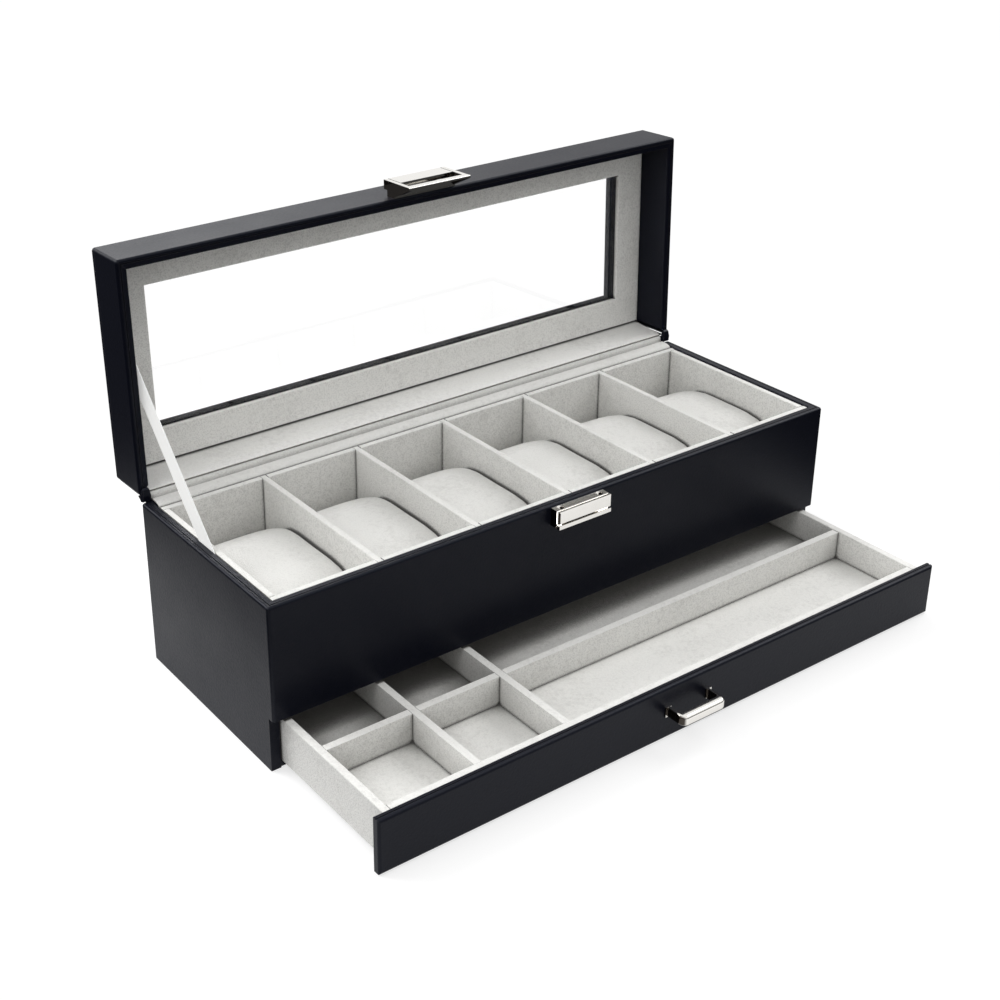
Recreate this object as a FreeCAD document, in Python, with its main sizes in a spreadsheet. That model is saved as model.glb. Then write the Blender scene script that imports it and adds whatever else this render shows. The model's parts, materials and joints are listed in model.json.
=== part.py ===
import FreeCAD, Part

import math
import os

import Sketcher
from FreeCAD import Vector

# A six-place watch display case with a glazed lid and a shallow drawer under the tray.
# The origin is the middle of the case's underside. X runs along the case, -Y is its front, +Z is up.
# The case stands as it is shown: lid swung up against its ribbon stay, drawer pulled out.

# Driving dimensions in millimetres, angles in degrees
DIMENSIONS = [
    ("case_length", 320.0),
    ("case_depth", 110.0),
    ("case_height", 81.0),
    ("lid_height", 24.0),
    ("lid_open", 91.7),
    ("drawer_open", 75.5),
    # leather covered boards
    ("wall", 4.8),
    ("corner_round", 1.5),
    ("shoulder", 1.2),
    ("inner_round", 0.6),
    ("crease_inset", 1.8),
    ("crease_width", 0.5),
    ("crease_depth", 0.4),
    # floor of the case, and the deck between drawer and tray
    ("base_felt", 0.6),
    ("felt_margin", 2.0),
    ("base_board", 2.4),
    ("panel_bottom", 26.5),
    ("deck_board", 3.0),
    # tray
    ("cell_count", 6),
    ("tray_wall", 3.0),
    ("tray_floor", 1.5),
    ("tray_drop", 0.5),
    ("tray_gap", 0.3),
    ("tray_side_gap", 0.5),
    ("tray_back_space", 3.0),
    ("tray_round", 0.5),
    ("lap_depth", 25.0),
    ("lap_gap", 0.15),
    # watch cushions
    ("cushion_height", 36.9),
    ("cushion_end_height", 22.6),
    ("cushion_crown", 43.6),
    ("cushion_crown_round", 32.0),
    ("cushion_end_round", 9.0),
    ("cushion_side_bevel", 2.0),
    ("cushion_gap", 0.35),
    # lid
    ("lid_gap", 0.3),
    ("hinge_back", 1.5),
    ("hinge_rise", 1.2),
    ("frame_board", 2.5),
    ("window_margin_side", 24.0),
    ("window_margin_end", 21.5),
    ("window_round", 0.8),
    ("glass_thick", 1.2),
    ("glass_lap", 3.5),
    ("glass_gap", 0.1),
    ("velvet_board", 2.2),
    ("velvet_margin_side", 21.0),
    ("velvet_margin_end", 20.5),
    ("velvet_gap", 0.2),
    ("lining", 2.2),
    ("lining_rise", 2.6),
    # velvet hinge cloth, leather hinge fold and ribbon stay
    ("cloth", 0.9),
    ("cloth_gap", 0.3),
    ("cloth_tuck", 14.0),
    ("cloth_proud", 2.0),
    ("cloth_round", 2.9),
    ("fold_depth", 2.2),
    ("ribbon_width", 10.0),
    ("ribbon_thick", 0.3),
    ("ribbon_tuck", 12.0),
    ("ribbon_at", 3.7),
    ("ribbon_reach", 55.0),
    # clasp
    ("clasp_width", 30.0),
    ("clasp_drop", 0.9),
    ("clasp_height", 8.6),
    ("housing_depth", 4.0),
    ("lip_height", 1.9),
    ("clasp_depth", 6.2),
    ("cap_thick", 1.5),
    ("cap_gap", 0.3),
    ("catch_slot", 0.7),
    ("catch_gap", 0.2),
    ("stem_width", 18.4),
    ("stem_height", 3.6),
    ("stem_length", 2.1),
    ("cavity_floor", 1.0),
    ("bore_spacing", 22.6),
    ("bore_radius", 1.3),
    ("bore_depth", 3.0),
    ("bore_bevel", 0.4),
    ("spring_radius", 1.2),
    ("spring_hole", 0.7),
    ("spring_length", 2.9),
    ("spring_spacing", 11.0),
    ("pin_radius", 0.6),
    ("pin_proud", 0.9),
    ("pin_depth", 4.2),
    ("hasp_border", 2.2),
    ("hasp_bar", 1.1),
    ("hasp_clear", 0.25),
    ("hasp_foot", 6.0),
    ("hasp_top", 9.2),
    ("hasp_bar_height", 3.5),
    ("hasp_step", 3.0),
    ("hasp_toe", 0.6),
    ("hasp_groove", 0.4),
    ("hasp_round", 0.4),
    ("hollow_floor", 3.2),
    ("hollow_depth", 6.8),
    ("catch_at", 3.0),
    ("catch_width", 3.0),
    ("catch_thick", 0.6),
    ("catch_reach", 0.7),
    ("catch_rise", 1.8),
    ("catch_edge", 0.2),
    # screws
    ("screw_radius", 0.9),
    ("screw_head", 2.0),
    ("screw_bite", 2.6),
    ("screw_gap", 0.05),
    ("screw_spacing", 16.0),
    # drawer
    ("drawer_front", 3.6),
    ("front_gap", 0.3),
    ("drawer_end_gap", 0.2),
    ("drawer_top_gap", 0.4),
    ("drawer_floor_gap", 0.4),
    ("drawer_side_gap", 0.6),
    ("drawer_back_gap", 2.0),
    ("runner_gap", 0.3),
    ("drawer_board", 3.0),
    ("drawer_wall", 3.7),
    ("drawer_lining", 4.5),
    ("drawer_wall_drop", 1.5),
    ("drawer_pad", 4.0),
    ("divider", 3.5),
    ("divider_drop", 0.4),
    ("front_row", 50.0),
    ("ring_cell", 42.3),
    # drawer pull
    ("pull_width", 25.6),
    ("pull_depth", 10.8),
    ("pull_bar", 3.7),
    ("pull_height", 4.9),
    ("pull_leg", 1.9),
    ("pull_corner", 3.3),
    ("pull_inner_corner", 1.2),
    ("pull_edge", 1.4),
    ("pull_foot", 0.7),
    ("pull_rise", 1.1),
    ("pull_foot_lap", 0.5),
    ("pull_screw_radius", 0.6),
    ("pull_screw_head", 1.4),
]

doc = FreeCAD.newDocument("WatchCase")
sheet = doc.addObject("Spreadsheet::Sheet", "Sheet")
sheet.Label = "Dimensions"
for row, (alias, amount) in enumerate(DIMENSIONS, start=1):
    sheet.set(f"A{row}", alias)
    sheet.set(f"B{row}", str(amount))
    sheet.setAlias(f"B{row}", alias)
doc.recompute()


def value(expression):
    return float(sheet.evalExpression(expression))


# Places worked out from the sheet, as expressions that every sketch shares
END = "(Sheet.case_length / 2)"
FRONT = "(-Sheet.case_depth / 2)"
BACK = "(Sheet.case_depth / 2)"
INNER_END = f"({END} - Sheet.wall)"
INNER_FRONT = f"({FRONT} + Sheet.wall)"
INNER_BACK = f"({BACK} - Sheet.wall)"
MITRE_ROUND = "(Sheet.corner_round * (1 - sqrt(0.5)))"
RECESS = f"({FRONT} + Sheet.drawer_front + Sheet.front_gap)"
BASE_TOP = "(Sheet.base_felt + Sheet.base_board)"
TRAY_BOTTOM = "(Sheet.panel_bottom + Sheet.deck_board)"
TRAY_TOP = "(Sheet.case_height - Sheet.tray_drop)"
TRAY_END = f"({INNER_END} - Sheet.tray_side_gap)"
TRAY_FRONT = f"({INNER_FRONT} + Sheet.tray_gap)"
TRAY_BACK = f"({INNER_BACK} - Sheet.tray_back_space)"
CELL_END = f"({TRAY_END} - Sheet.tray_wall)"
CELL_FRONT = f"({TRAY_FRONT} + Sheet.tray_wall)"
CELL_BACK = f"({TRAY_BACK} - Sheet.tray_wall)"
CELL_FLOOR = f"({TRAY_BOTTOM} + Sheet.tray_floor)"
PITCH = f"((2 * {CELL_END} + Sheet.tray_wall) / Sheet.cell_count)"
LAP_BOTTOM = f"({TRAY_TOP} - Sheet.lap_depth)"

HINGE_Y = f"({BACK} + Sheet.hinge_back)"
HINGE_Z = "(Sheet.case_height + Sheet.hinge_rise)"
# The lid's own frame has its origin on the hinge axis, and is level when the lid is shut
LID_BACK = "(-Sheet.hinge_back)"
LID_FRONT = f"({LID_BACK} - Sheet.case_depth)"
LID_INNER_FRONT = f"({LID_FRONT} + Sheet.wall)"
LID_INNER_BACK = f"({LID_BACK} - Sheet.wall)"
LID_RIM = "(Sheet.lid_gap - Sheet.hinge_rise)"
LID_TOP = f"({LID_RIM} + Sheet.lid_height)"
FRAME_BOTTOM = f"({LID_TOP} - Sheet.frame_board)"
VELVET_FACE = f"({FRAME_BOTTOM} - Sheet.velvet_board)"

CLASP_TOP = "(Sheet.case_height - Sheet.clasp_drop)"
CLASP_BOTTOM = f"({CLASP_TOP} - Sheet.clasp_height)"
LIP_TOP = f"({CLASP_BOTTOM} + Sheet.lip_height)"
CAP_BOTTOM = f"({LIP_TOP} + Sheet.catch_slot)"
BAR_BACK = "(Sheet.clasp_depth + Sheet.hasp_clear)"
BAR_TOP = f"({LIP_TOP} - Sheet.catch_gap - {HINGE_Z})"
HASP_FACE = f"({BAR_BACK} + Sheet.hasp_bar)"
HASP_HALF = "(Sheet.clasp_width / 2 + Sheet.cap_gap)"
STEM_MIDDLE = f"({CAP_BOTTOM} + {CLASP_TOP}) / 2 - 0.2 * Sheet.stem_height"
STEM_BACK = "(Sheet.clasp_depth - Sheet.cap_thick - Sheet.stem_length)"
SCREW_Z = f"({CLASP_BOTTOM} + Sheet.clasp_height * 0.15)"
HASP_SCREW_Z = f"({LID_RIM} + Sheet.hasp_foot * 0.57)"

# The drawer is drawn shut and moved out by its placement
DRAWER_END = f"({END} - Sheet.drawer_end_gap)"
BOX_END = f"({INNER_END} - Sheet.drawer_side_gap)"
BOX_INNER_END = f"({BOX_END} - Sheet.drawer_wall)"
BOX_FRONT = f"({FRONT} + Sheet.drawer_front)"
BOX_INNER_FRONT = f"({BOX_FRONT} + Sheet.drawer_lining)"
BOX_BACK = f"({INNER_BACK} - Sheet.drawer_back_gap)"
BOX_INNER_BACK = f"({BOX_BACK} - Sheet.drawer_wall)"
BOX_BOTTOM = f"({BASE_TOP} + Sheet.runner_gap)"
BOX_FLOOR = f"({BOX_BOTTOM} + Sheet.drawer_board)"
PAD_TOP = f"({BOX_FLOOR} + Sheet.drawer_pad)"
BOX_TOP = "(Sheet.panel_bottom - Sheet.drawer_wall_drop)"
DIVIDER_TOP = f"({BOX_TOP} - Sheet.divider_drop)"
LONG_FRONT = f"({FRONT} + Sheet.front_row)"
LONG_BACK = f"({LONG_FRONT} + Sheet.divider)"
DIVIDER_HALF_LAP = f"(({PAD_TOP} + {DIVIDER_TOP}) / 2)"
PULL_Z = f"((Sheet.drawer_floor_gap + Sheet.panel_bottom - Sheet.drawer_top_gap) / 2 + Sheet.pull_rise)"

parts = []


def new_body(label):
    """A PartDesign body that becomes a node of the assembly."""
    body = doc.addObject("PartDesign::Body", label)
    body.Label = label
    parts.append(body)
    return body


def origin_plane(body, role):
    return next(feature for feature in body.Origin.OriginFeatures if feature.Role == role)


def new_sketch(body, name, plane, offset):
    sketch = body.newObject("Sketcher::SketchObject", name)
    sketch.AttachmentSupport = [(origin_plane(body, plane), "")]
    sketch.MapMode = "FlatFace"
    if offset is not None:
        sketch.setExpression("AttachmentOffset.Base.z", offset)
    return sketch


def tie(sketch, kind, expression, *where):
    """A dimensional constraint whose value is an expression on the sheet."""
    index = sketch.addConstraint(Sketcher.Constraint(kind, *where, value(expression)))
    sketch.setExpression(f"Constraints[{index}]", expression)


def arc_between(start, end, radius, turn):
    """The short arc from start to end. turn is 1 for anticlockwise and -1 for clockwise."""
    chord = end - start
    rise = math.sqrt(max(radius**2 - (chord.Length / 2) ** 2, 0))
    side = Vector(-chord.y, chord.x, 0).normalize() * rise * turn
    centre = start + chord * 0.5 + side
    first, last = (start, end) if turn > 0 else (end, start)
    angles = [math.atan2(p.y - centre.y, p.x - centre.x) for p in (first, last)]
    if angles[1] < angles[0]:
        angles[1] += 2 * math.pi
    return Part.ArcOfCircle(Part.Circle(centre, Vector(0, 0, 1), radius), *angles)


def draw_loop(sketch, corners):
    """A closed loop through corners (u, v). A corner (u, v, radius, turn) starts an arc to the next one."""
    points = [Vector(value(corner[0]), value(corner[1]), 0) for corner in corners]
    ends = []
    for i, corner in enumerate(corners):
        start, end = points[i], points[(i + 1) % len(points)]
        if len(corner) == 2:
            index = sketch.addGeometry(Part.LineSegment(start, end))
            ends.append((index, 1, 2))
        else:
            radius, turn = corner[2:]
            index = sketch.addGeometry(arc_between(start, end, value(radius), turn))
            ends.append((index, 1, 2) if turn > 0 else (index, 2, 1))
            tie(sketch, "Radius", radius, index)
    for i, (index, _, finish) in enumerate(ends):
        following, begin, _ = ends[(i + 1) % len(ends)]
        sketch.addConstraint(Sketcher.Constraint("Coincident", index, finish, following, begin))
    for (index, begin, _), corner in zip(ends, corners):
        tie(sketch, "DistanceX", corner[0], -1, 1, index, begin)
        tie(sketch, "DistanceY", corner[1], -1, 1, index, begin)


def draw_circle(sketch, u, v, radius):
    centre = Vector(value(u), value(v), 0)
    index = sketch.addGeometry(Part.Circle(centre, Vector(0, 0, 1), value(radius)))
    tie(sketch, "DistanceX", u, -1, 1, index, 3)
    tie(sketch, "DistanceY", v, -1, 1, index, 3)
    tie(sketch, "Radius", radius, index)


def rectangle(left, right, low, high):
    return [(left, low), (right, low), (right, high), (left, high)]


def outline(body, name, plane, *loops, offset=None):
    sketch = new_sketch(body, name, plane, offset)
    for corners in loops:
        draw_loop(sketch, corners)
    return sketch


def circles(body, name, plane, centres, radius, offset=None):
    sketch = new_sketch(body, name, plane, offset)
    for u, v in centres:
        draw_circle(sketch, u, v, radius)
    return sketch


def pad(body, name, sketch, length, symmetric=False):
    feature = body.newObject("PartDesign::Pad", name)
    feature.Profile = sketch
    feature.setExpression("Length", length)
    if symmetric:
        feature.SideType = "Symmetric"
    return feature


def pocket(body, name, sketch, length, symmetric=False, flip=False):
    """Cuts the sketch out of the body, and stops if it took nothing away."""
    doc.recompute()
    before = body.Shape.Volume
    feature = body.newObject("PartDesign::Pocket", name)
    feature.Profile = sketch
    feature.setExpression("Length", length)
    feature.Reversed = flip
    if symmetric:
        feature.SideType = "Symmetric"
    doc.recompute()
    if body.Shape.Volume > before - 1e-6:
        raise RuntimeError(f"{body.Label}: {name} cuts nothing")
    return feature


def same(a, b):
    return abs(a - b) < 1e-5


def pick_edges(body, wanted):
    """Names of the tip's edges for which wanted(end points, edge) is true."""
    doc.recompute()
    names = []
    for number, edge in enumerate(body.Tip.Shape.Edges, start=1):
        if wanted([vertex.Point for vertex in edge.Vertexes], edge):
            names.append(f"Edge{number}")
    if not names:
        raise RuntimeError(f"{body.Label}: no edge found")
    return names


def round_edges(body, name, radius, wanted):
    names = pick_edges(body, wanted)
    feature = body.newObject("PartDesign::Fillet", name)
    feature.Base = (doc.getObject(feature.BaseFeature.Name), names)
    feature.setExpression("Radius", radius)
    return feature


def bevel_edges(body, name, depth, wanted):
    names = pick_edges(body, wanted)
    feature = body.newObject("PartDesign::Chamfer", name)
    feature.Base = (doc.getObject(feature.BaseFeature.Name), names)
    feature.setExpression("Size", depth)
    return feature


def edges_along_x(*places):
    """Chooses edges parallel to X that pass through one of the (y, z) places."""
    spots = [(value(y), value(z)) for y, z in places]

    def wanted(points, edge):
        if len(points) < 2 or same(points[0].x, points[1].x):
            return False
        return any(all(same(p.y, y) and same(p.z, z) for p in points) for y, z in spots)

    return wanted


def edges_along_z(*places):
    """Chooses edges parallel to Z that pass through one of the (x, y) places."""
    spots = [(value(x), value(y)) for x, y in places]

    def wanted(points, edge):
        if len(points) < 2 or same(points[0].z, points[1].z):
            return False
        return any(all(same(p.x, x) and same(p.y, y) for p in points) for x, y in spots)

    return wanted


def edges_at_height(level, *limits):
    """Chooses edges at one height whose ends all meet every (axis, side, limit)."""
    z = value(level)
    bounds = [(axis, side, value(limit)) for axis, side, limit in limits]

    def wanted(points, edge):
        if not all(same(p.z, z) for p in points):
            return False
        inside = [side * (getattr(p, axis) - limit) > -1e-5 for p in points for axis, side, limit in bounds]
        return all(inside)

    return wanted


def board(label, x, y, z):
    """A flat board between the expressions x = (low, high), y and z."""
    body = new_body(label)
    plan = outline(body, f"{label}_plan", "XY_Plane", rectangle(*x, *y), offset=z[0])
    pad(body, f"{label}_board", plan, f"({z[1]}) - ({z[0]})")
    return body


def set_on_lid(feature):
    """Carries a part drawn in the lid's own frame to where the open lid holds it."""
    feature.Placement.Rotation = FreeCAD.Rotation(Vector(-1, 0, 0), value("Sheet.lid_open"))
    feature.setExpression("Placement.Base.y", HINGE_Y)
    feature.setExpression("Placement.Base.z", HINGE_Z)
    feature.setExpression("Placement.Rotation.Angle", "Sheet.lid_open")
    return feature


def on_lid(y, z):
    """Where a point of the lid's own frame lies while the lid is open."""
    swing = "Sheet.lid_open"
    return (
        f"({HINGE_Y} + ({y}) * cos({swing}) + ({z}) * sin({swing}))",
        f"({HINGE_Z} - ({y}) * sin({swing}) + ({z}) * cos({swing}))",
    )


def set_in_drawer(feature):
    feature.setExpression("Placement.Base.y", "-Sheet.drawer_open")
    return feature


def end_wall_plan(outer, inward):
    """Plan of a front or back board, mitred at both ends. inward is 1 where the inside is towards +Y."""
    near = f"{outer} + {inward} * {MITRE_ROUND}"
    deep = f"{outer} + {inward} * Sheet.wall"
    return [
        (f"-{END} + Sheet.corner_round", outer),
        (f"{END} - Sheet.corner_round", outer, "Sheet.corner_round", inward),
        (f"{END} - {MITRE_ROUND}", near),
        (f"{END} - Sheet.wall", deep),
        (f"-{END} + Sheet.wall", deep),
        (f"-{END} + {MITRE_ROUND}", near, "Sheet.corner_round", inward),
    ]


def side_wall_plan(hand, front, back):
    """Plan of a left (hand = -1) or right (1) board, mitred at both ends."""
    turn = -hand
    return [
        (f"{hand} * ({END} - {MITRE_ROUND})", f"{front} + {MITRE_ROUND}"),
        (f"{hand} * {INNER_END}", f"{front} + Sheet.wall"),
        (f"{hand} * {INNER_END}", f"{back} - Sheet.wall"),
        (f"{hand} * ({END} - {MITRE_ROUND})", f"{back} - {MITRE_ROUND}", "Sheet.corner_round", turn),
        (f"{hand} * {END}", f"{back} - Sheet.corner_round"),
        (f"{hand} * {END}", f"{front} + Sheet.corner_round", "Sheet.corner_round", turn),
    ]


def press_crease_along_x(body, outer, inward, rim, flip):
    """The pressed line where the leather turns over the rim of a front or back board."""
    near = "Sheet.crease_inset"
    far = "(Sheet.crease_inset + Sheet.crease_width)"
    corners = [(-1, near), (1, near), (1, far), (-1, far)]
    loop = [(f"{hand} * ({END} - {inset})", f"{outer} + {inward} * {inset}") for hand, inset in corners]
    sketch = outline(body, f"{body.Label}_crease_line", "XY_Plane", loop, offset=rim)
    pocket(body, f"{body.Label}_crease", sketch, "Sheet.crease_depth", flip=flip)


def press_crease_along_y(body, hand, front, back, rim, flip):
    """The same line on a side board."""
    near = "Sheet.crease_inset"
    far = "(Sheet.crease_inset + Sheet.crease_width)"
    loop = [
        (f"{hand} * ({END} - {near})", f"{front} + {near}"),
        (f"{hand} * ({END} - {near})", f"{back} - {near}"),
        (f"{hand} * ({END} - {far})", f"{back} - {far}"),
        (f"{hand} * ({END} - {far})", f"{front} + {far}"),
    ]
    sketch = outline(body, f"{body.Label}_crease_line", "XY_Plane", loop, offset=rim)
    pocket(body, f"{body.Label}_crease", sketch, "Sheet.crease_depth", flip=flip)


def screw_holes(body, centres, face, depth, inner_face, kind="screw"):
    """Clearance holes through a front board, countersunk on its inner face."""
    radius = f"(Sheet.{kind}_radius + Sheet.screw_gap)"
    drilled = circles(body, f"{body.Label}_drilling", "XZ_Plane", centres, radius, offset=f"-({face})")
    pocket(body, f"{body.Label}_holes", drilled, depth)
    level = value(inner_face)

    def wanted(points, edge):
        round_edge = isinstance(edge.Curve, Part.Circle) and same(edge.Curve.Radius, value(radius))
        return round_edge and all(same(p.y, level) for p in points)

    bevel_edges(body, f"{body.Label}_sinks", f"Sheet.{kind}_head - Sheet.{kind}_radius", wanted)


def screw(name, kind, x, head_y, z, length):
    """A countersunk screw that points to -Y, with its head's face at head_y."""
    head = doc.addObject("Part::Cone", f"{name}_head")
    head.setExpression("Radius1", f"Sheet.{kind}_head")
    head.setExpression("Radius2", f"Sheet.{kind}_radius")
    head.setExpression("Height", f"Sheet.{kind}_head - Sheet.{kind}_radius")
    shank = doc.addObject("Part::Cylinder", f"{name}_shank")
    shank.setExpression("Radius", f"Sheet.{kind}_radius")
    shank.setExpression("Height", length)
    for piece in (head, shank):
        piece.Placement.Rotation = FreeCAD.Rotation(Vector(1, 0, 0), 90)
        piece.setExpression("Placement.Base.x", x)
        piece.setExpression("Placement.Base.y", head_y)
        piece.setExpression("Placement.Base.z", z)
    joined = doc.addObject("Part::Fuse", name)
    joined.Base = head
    joined.Tool = shank
    joined.Refine = True
    return joined


def screw_pair(label, spacing, head_y, z, length, kind="screw"):
    pair = doc.addObject("Part::Compound", label)
    pair.Label = label
    sides = ((1, -1), (2, 1))
    pair.Links = [
        screw(f"{label}_{number}", kind, f"{hand} * {spacing} / 2", head_y, z, length) for number, hand in sides
    ]
    parts.append(pair)
    return pair


def make_case_front():
    body = new_body("case_front_panel")
    plan = outline(body, "front_plan", "XY_Plane", end_wall_plan(FRONT, 1), offset="Sheet.panel_bottom")
    pad(body, "front_board", plan, "Sheet.case_height - Sheet.panel_bottom")
    outside = ("y", -1, f"{FRONT} + {MITRE_ROUND}")
    inside = (INNER_FRONT, "Sheet.case_height")
    round_edges(body, "front_rim", "Sheet.shoulder", edges_at_height("Sheet.case_height", outside))
    round_edges(body, "front_inner_rim", "Sheet.inner_round", edges_along_x(inside))
    press_crease_along_x(body, FRONT, 1, "Sheet.case_height", False)
    centres = [(f"{hand} * Sheet.screw_spacing / 2", SCREW_Z) for hand in (-1, 1)]
    screw_holes(body, centres, FRONT, "Sheet.wall", INNER_FRONT)


def make_case_side(label, hand):
    """A side board: mitred above, and set back below where the drawer's front closes over it."""
    body = new_body(label)
    lower = side_wall_plan(hand, FRONT, BACK)[2:5]
    lower = [(f"{hand} * {END}", RECESS), (f"{hand} * {INNER_END}", RECESS)] + lower
    plan = outline(body, f"{label}_lower_plan", "XY_Plane", lower)
    pad(body, f"{label}_lower", plan, "Sheet.panel_bottom")
    upper = side_wall_plan(hand, FRONT, BACK)
    plan = outline(body, f"{label}_upper_plan", "XY_Plane", upper, offset="Sheet.panel_bottom")
    pad(body, f"{label}_upper", plan, "Sheet.case_height - Sheet.panel_bottom")
    outside = ("x", hand, f"{hand} * ({END} - {MITRE_ROUND})")
    round_edges(body, f"{label}_rim", "Sheet.shoulder", edges_at_height("Sheet.case_height", outside))
    inner = value(f"{hand} * {INNER_END}")
    top = value("Sheet.case_height")
    round_edges(
        body,
        f"{label}_inner_rim",
        "Sheet.inner_round",
        lambda points, edge: all(same(p.x, inner) and same(p.z, top) for p in points),
    )
    press_crease_along_y(body, hand, FRONT, BACK, "Sheet.case_height", False)


def make_case_back():
    body = new_body("case_back_panel")
    plan = outline(body, "back_plan", "XY_Plane", end_wall_plan(BACK, -1))
    pad(body, "back_board", plan, "Sheet.case_height")
    outside = ("y", 1, f"{BACK} - {MITRE_ROUND}")
    inside = (INNER_BACK, "Sheet.case_height")
    round_edges(body, "back_rim", "Sheet.shoulder", edges_at_height("Sheet.case_height", outside))
    round_edges(body, "back_inner_rim", "Sheet.inner_round", edges_along_x(inside))


def make_case_floor():
    x = (f"-{INNER_END}", INNER_END)
    board("case_bottom_board", x, (RECESS, INNER_BACK), ("Sheet.base_felt", BASE_TOP))
    edge = f"({INNER_END} - Sheet.felt_margin)"
    y = (f"{RECESS} + Sheet.felt_margin", f"{INNER_BACK} - Sheet.felt_margin")
    board("base_felt", (f"-{edge}", edge), y, ("0", "Sheet.base_felt"))
    board("case_deck", x, (INNER_FRONT, INNER_BACK), ("Sheet.panel_bottom", TRAY_BOTTOM))


def cut_divider_slots(body, y):
    """Slots from the rim, one for each divider, repeated along the wall."""
    half = "(Sheet.tray_wall / 2 + Sheet.lap_gap)"
    first = f"-{CELL_END} + {PITCH} - Sheet.tray_wall / 2"
    loop = rectangle(f"{first} - {half}", f"{first} + {half}", *y)
    sketch = outline(body, f"{body.Label}_slot_plan", "XY_Plane", loop, offset=TRAY_TOP)
    slot = pocket(body, f"{body.Label}_slot", sketch, "Sheet.lap_depth + Sheet.lap_gap")
    row = body.newObject("PartDesign::LinearPattern", f"{body.Label}_slots")
    row.Originals = [slot]
    row.Direction = (origin_plane(body, "X_Axis"), [""])
    row.setExpression("Length", f"(Sheet.cell_count - 2) * {PITCH}")
    row.setExpression("Occurrences", "Sheet.cell_count - 1")
    body.Tip = row


def make_tray():
    z = (TRAY_BOTTOM, TRAY_TOP)
    full = (f"-{TRAY_END}", TRAY_END)
    walls = {
        "tray_front_wall": (TRAY_FRONT, CELL_FRONT),
        "tray_back_wall": (CELL_BACK, TRAY_BACK),
    }
    for label, y in walls.items():
        body = board(label, full, y, z)
        places = [(face, TRAY_TOP) for face in y]
        round_edges(body, f"{label}_rim", "Sheet.tray_round", edges_along_x(*places))
        cut_divider_slots(body, y)
    for label, hand in (("tray_left_wall", -1), ("tray_right_wall", 1)):
        x = sorted((f"{hand} * {CELL_END}", f"{hand} * {TRAY_END}"), key=value)
        body = board(label, x, (CELL_FRONT, CELL_BACK), z)
        round_edges(body, f"{label}_rim", "Sheet.tray_round", edges_at_height(TRAY_TOP))
    x = (f"-{CELL_END}", CELL_END)
    board("tray_floor", x, (CELL_FRONT, CELL_BACK), (TRAY_BOTTOM, CELL_FLOOR))


def make_tray_divider(number):
    """A divider whose upper ends lap through the slots of the tray's front and back walls."""
    label = f"tray_divider_{number}"
    body = new_body(label)
    near = f"{CELL_FRONT} + Sheet.lap_gap"
    far = f"{CELL_BACK} - Sheet.lap_gap"
    profile = [
        (near, CELL_FLOOR),
        (far, CELL_FLOOR),
        (far, LAP_BOTTOM),
        (TRAY_BACK, LAP_BOTTOM),
        (TRAY_BACK, TRAY_TOP),
        (TRAY_FRONT, TRAY_TOP),
        (TRAY_FRONT, LAP_BOTTOM),
        (near, LAP_BOTTOM),
    ]
    sketch = outline(body, f"{label}_profile", "YZ_Plane", profile)
    pad(body, f"{label}_board", sketch, "Sheet.tray_wall", True)
    round_edges(body, f"{label}_rim", "Sheet.tray_round", edges_at_height(TRAY_TOP))
    body.setExpression("Placement.Base.x", f"{number} * {PITCH} - {CELL_END} - Sheet.tray_wall / 2")


def make_cushion(number):
    """A watch cushion: a soft block with sloping ends and bevelled sides, crowned over its top."""
    label = f"cushion_{number}"
    body = new_body(label)
    half = f"(({CELL_BACK} - {CELL_FRONT}) / 2 - Sheet.cushion_gap)"
    width = f"({PITCH} - Sheet.tray_wall - 2 * Sheet.cushion_gap)"
    crown = "(Sheet.cushion_crown / 2)"
    profile = [
        (f"-{half}", "0"),
        (half, "0"),
        (half, "Sheet.cushion_end_height"),
        (crown, "Sheet.cushion_height"),
        (f"-{crown}", "Sheet.cushion_height"),
        (f"-{half}", "Sheet.cushion_end_height"),
    ]
    pad(body, f"{label}_block", outline(body, f"{label}_section", "YZ_Plane", profile), width, True)
    side = value(width) / 2
    bevel_edges(
        body,
        f"{label}_sides",
        "Sheet.cushion_side_bevel",
        lambda points, edge: all(same(abs(p.x), side) for p in points) and same(points[0].x, points[-1].x),
    )
    rounds = [
        ("crown", "Sheet.cushion_crown_round", crown, "Sheet.cushion_height"),
        ("end", "Sheet.cushion_end_round", half, "Sheet.cushion_end_height"),
    ]
    for name, radius, y, z in rounds:
        round_edges(body, f"{label}_{name}", radius, edges_along_x((f"-{y}", z), (y, z)))
    body.setExpression("Placement.Base.x", f"({number} - 0.5) * {PITCH} - {CELL_END} - Sheet.tray_wall / 2")
    body.setExpression("Placement.Base.y", f"({CELL_FRONT} + {CELL_BACK}) / 2")
    body.setExpression("Placement.Base.z", f"{CELL_FLOOR} + Sheet.cushion_gap")


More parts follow.
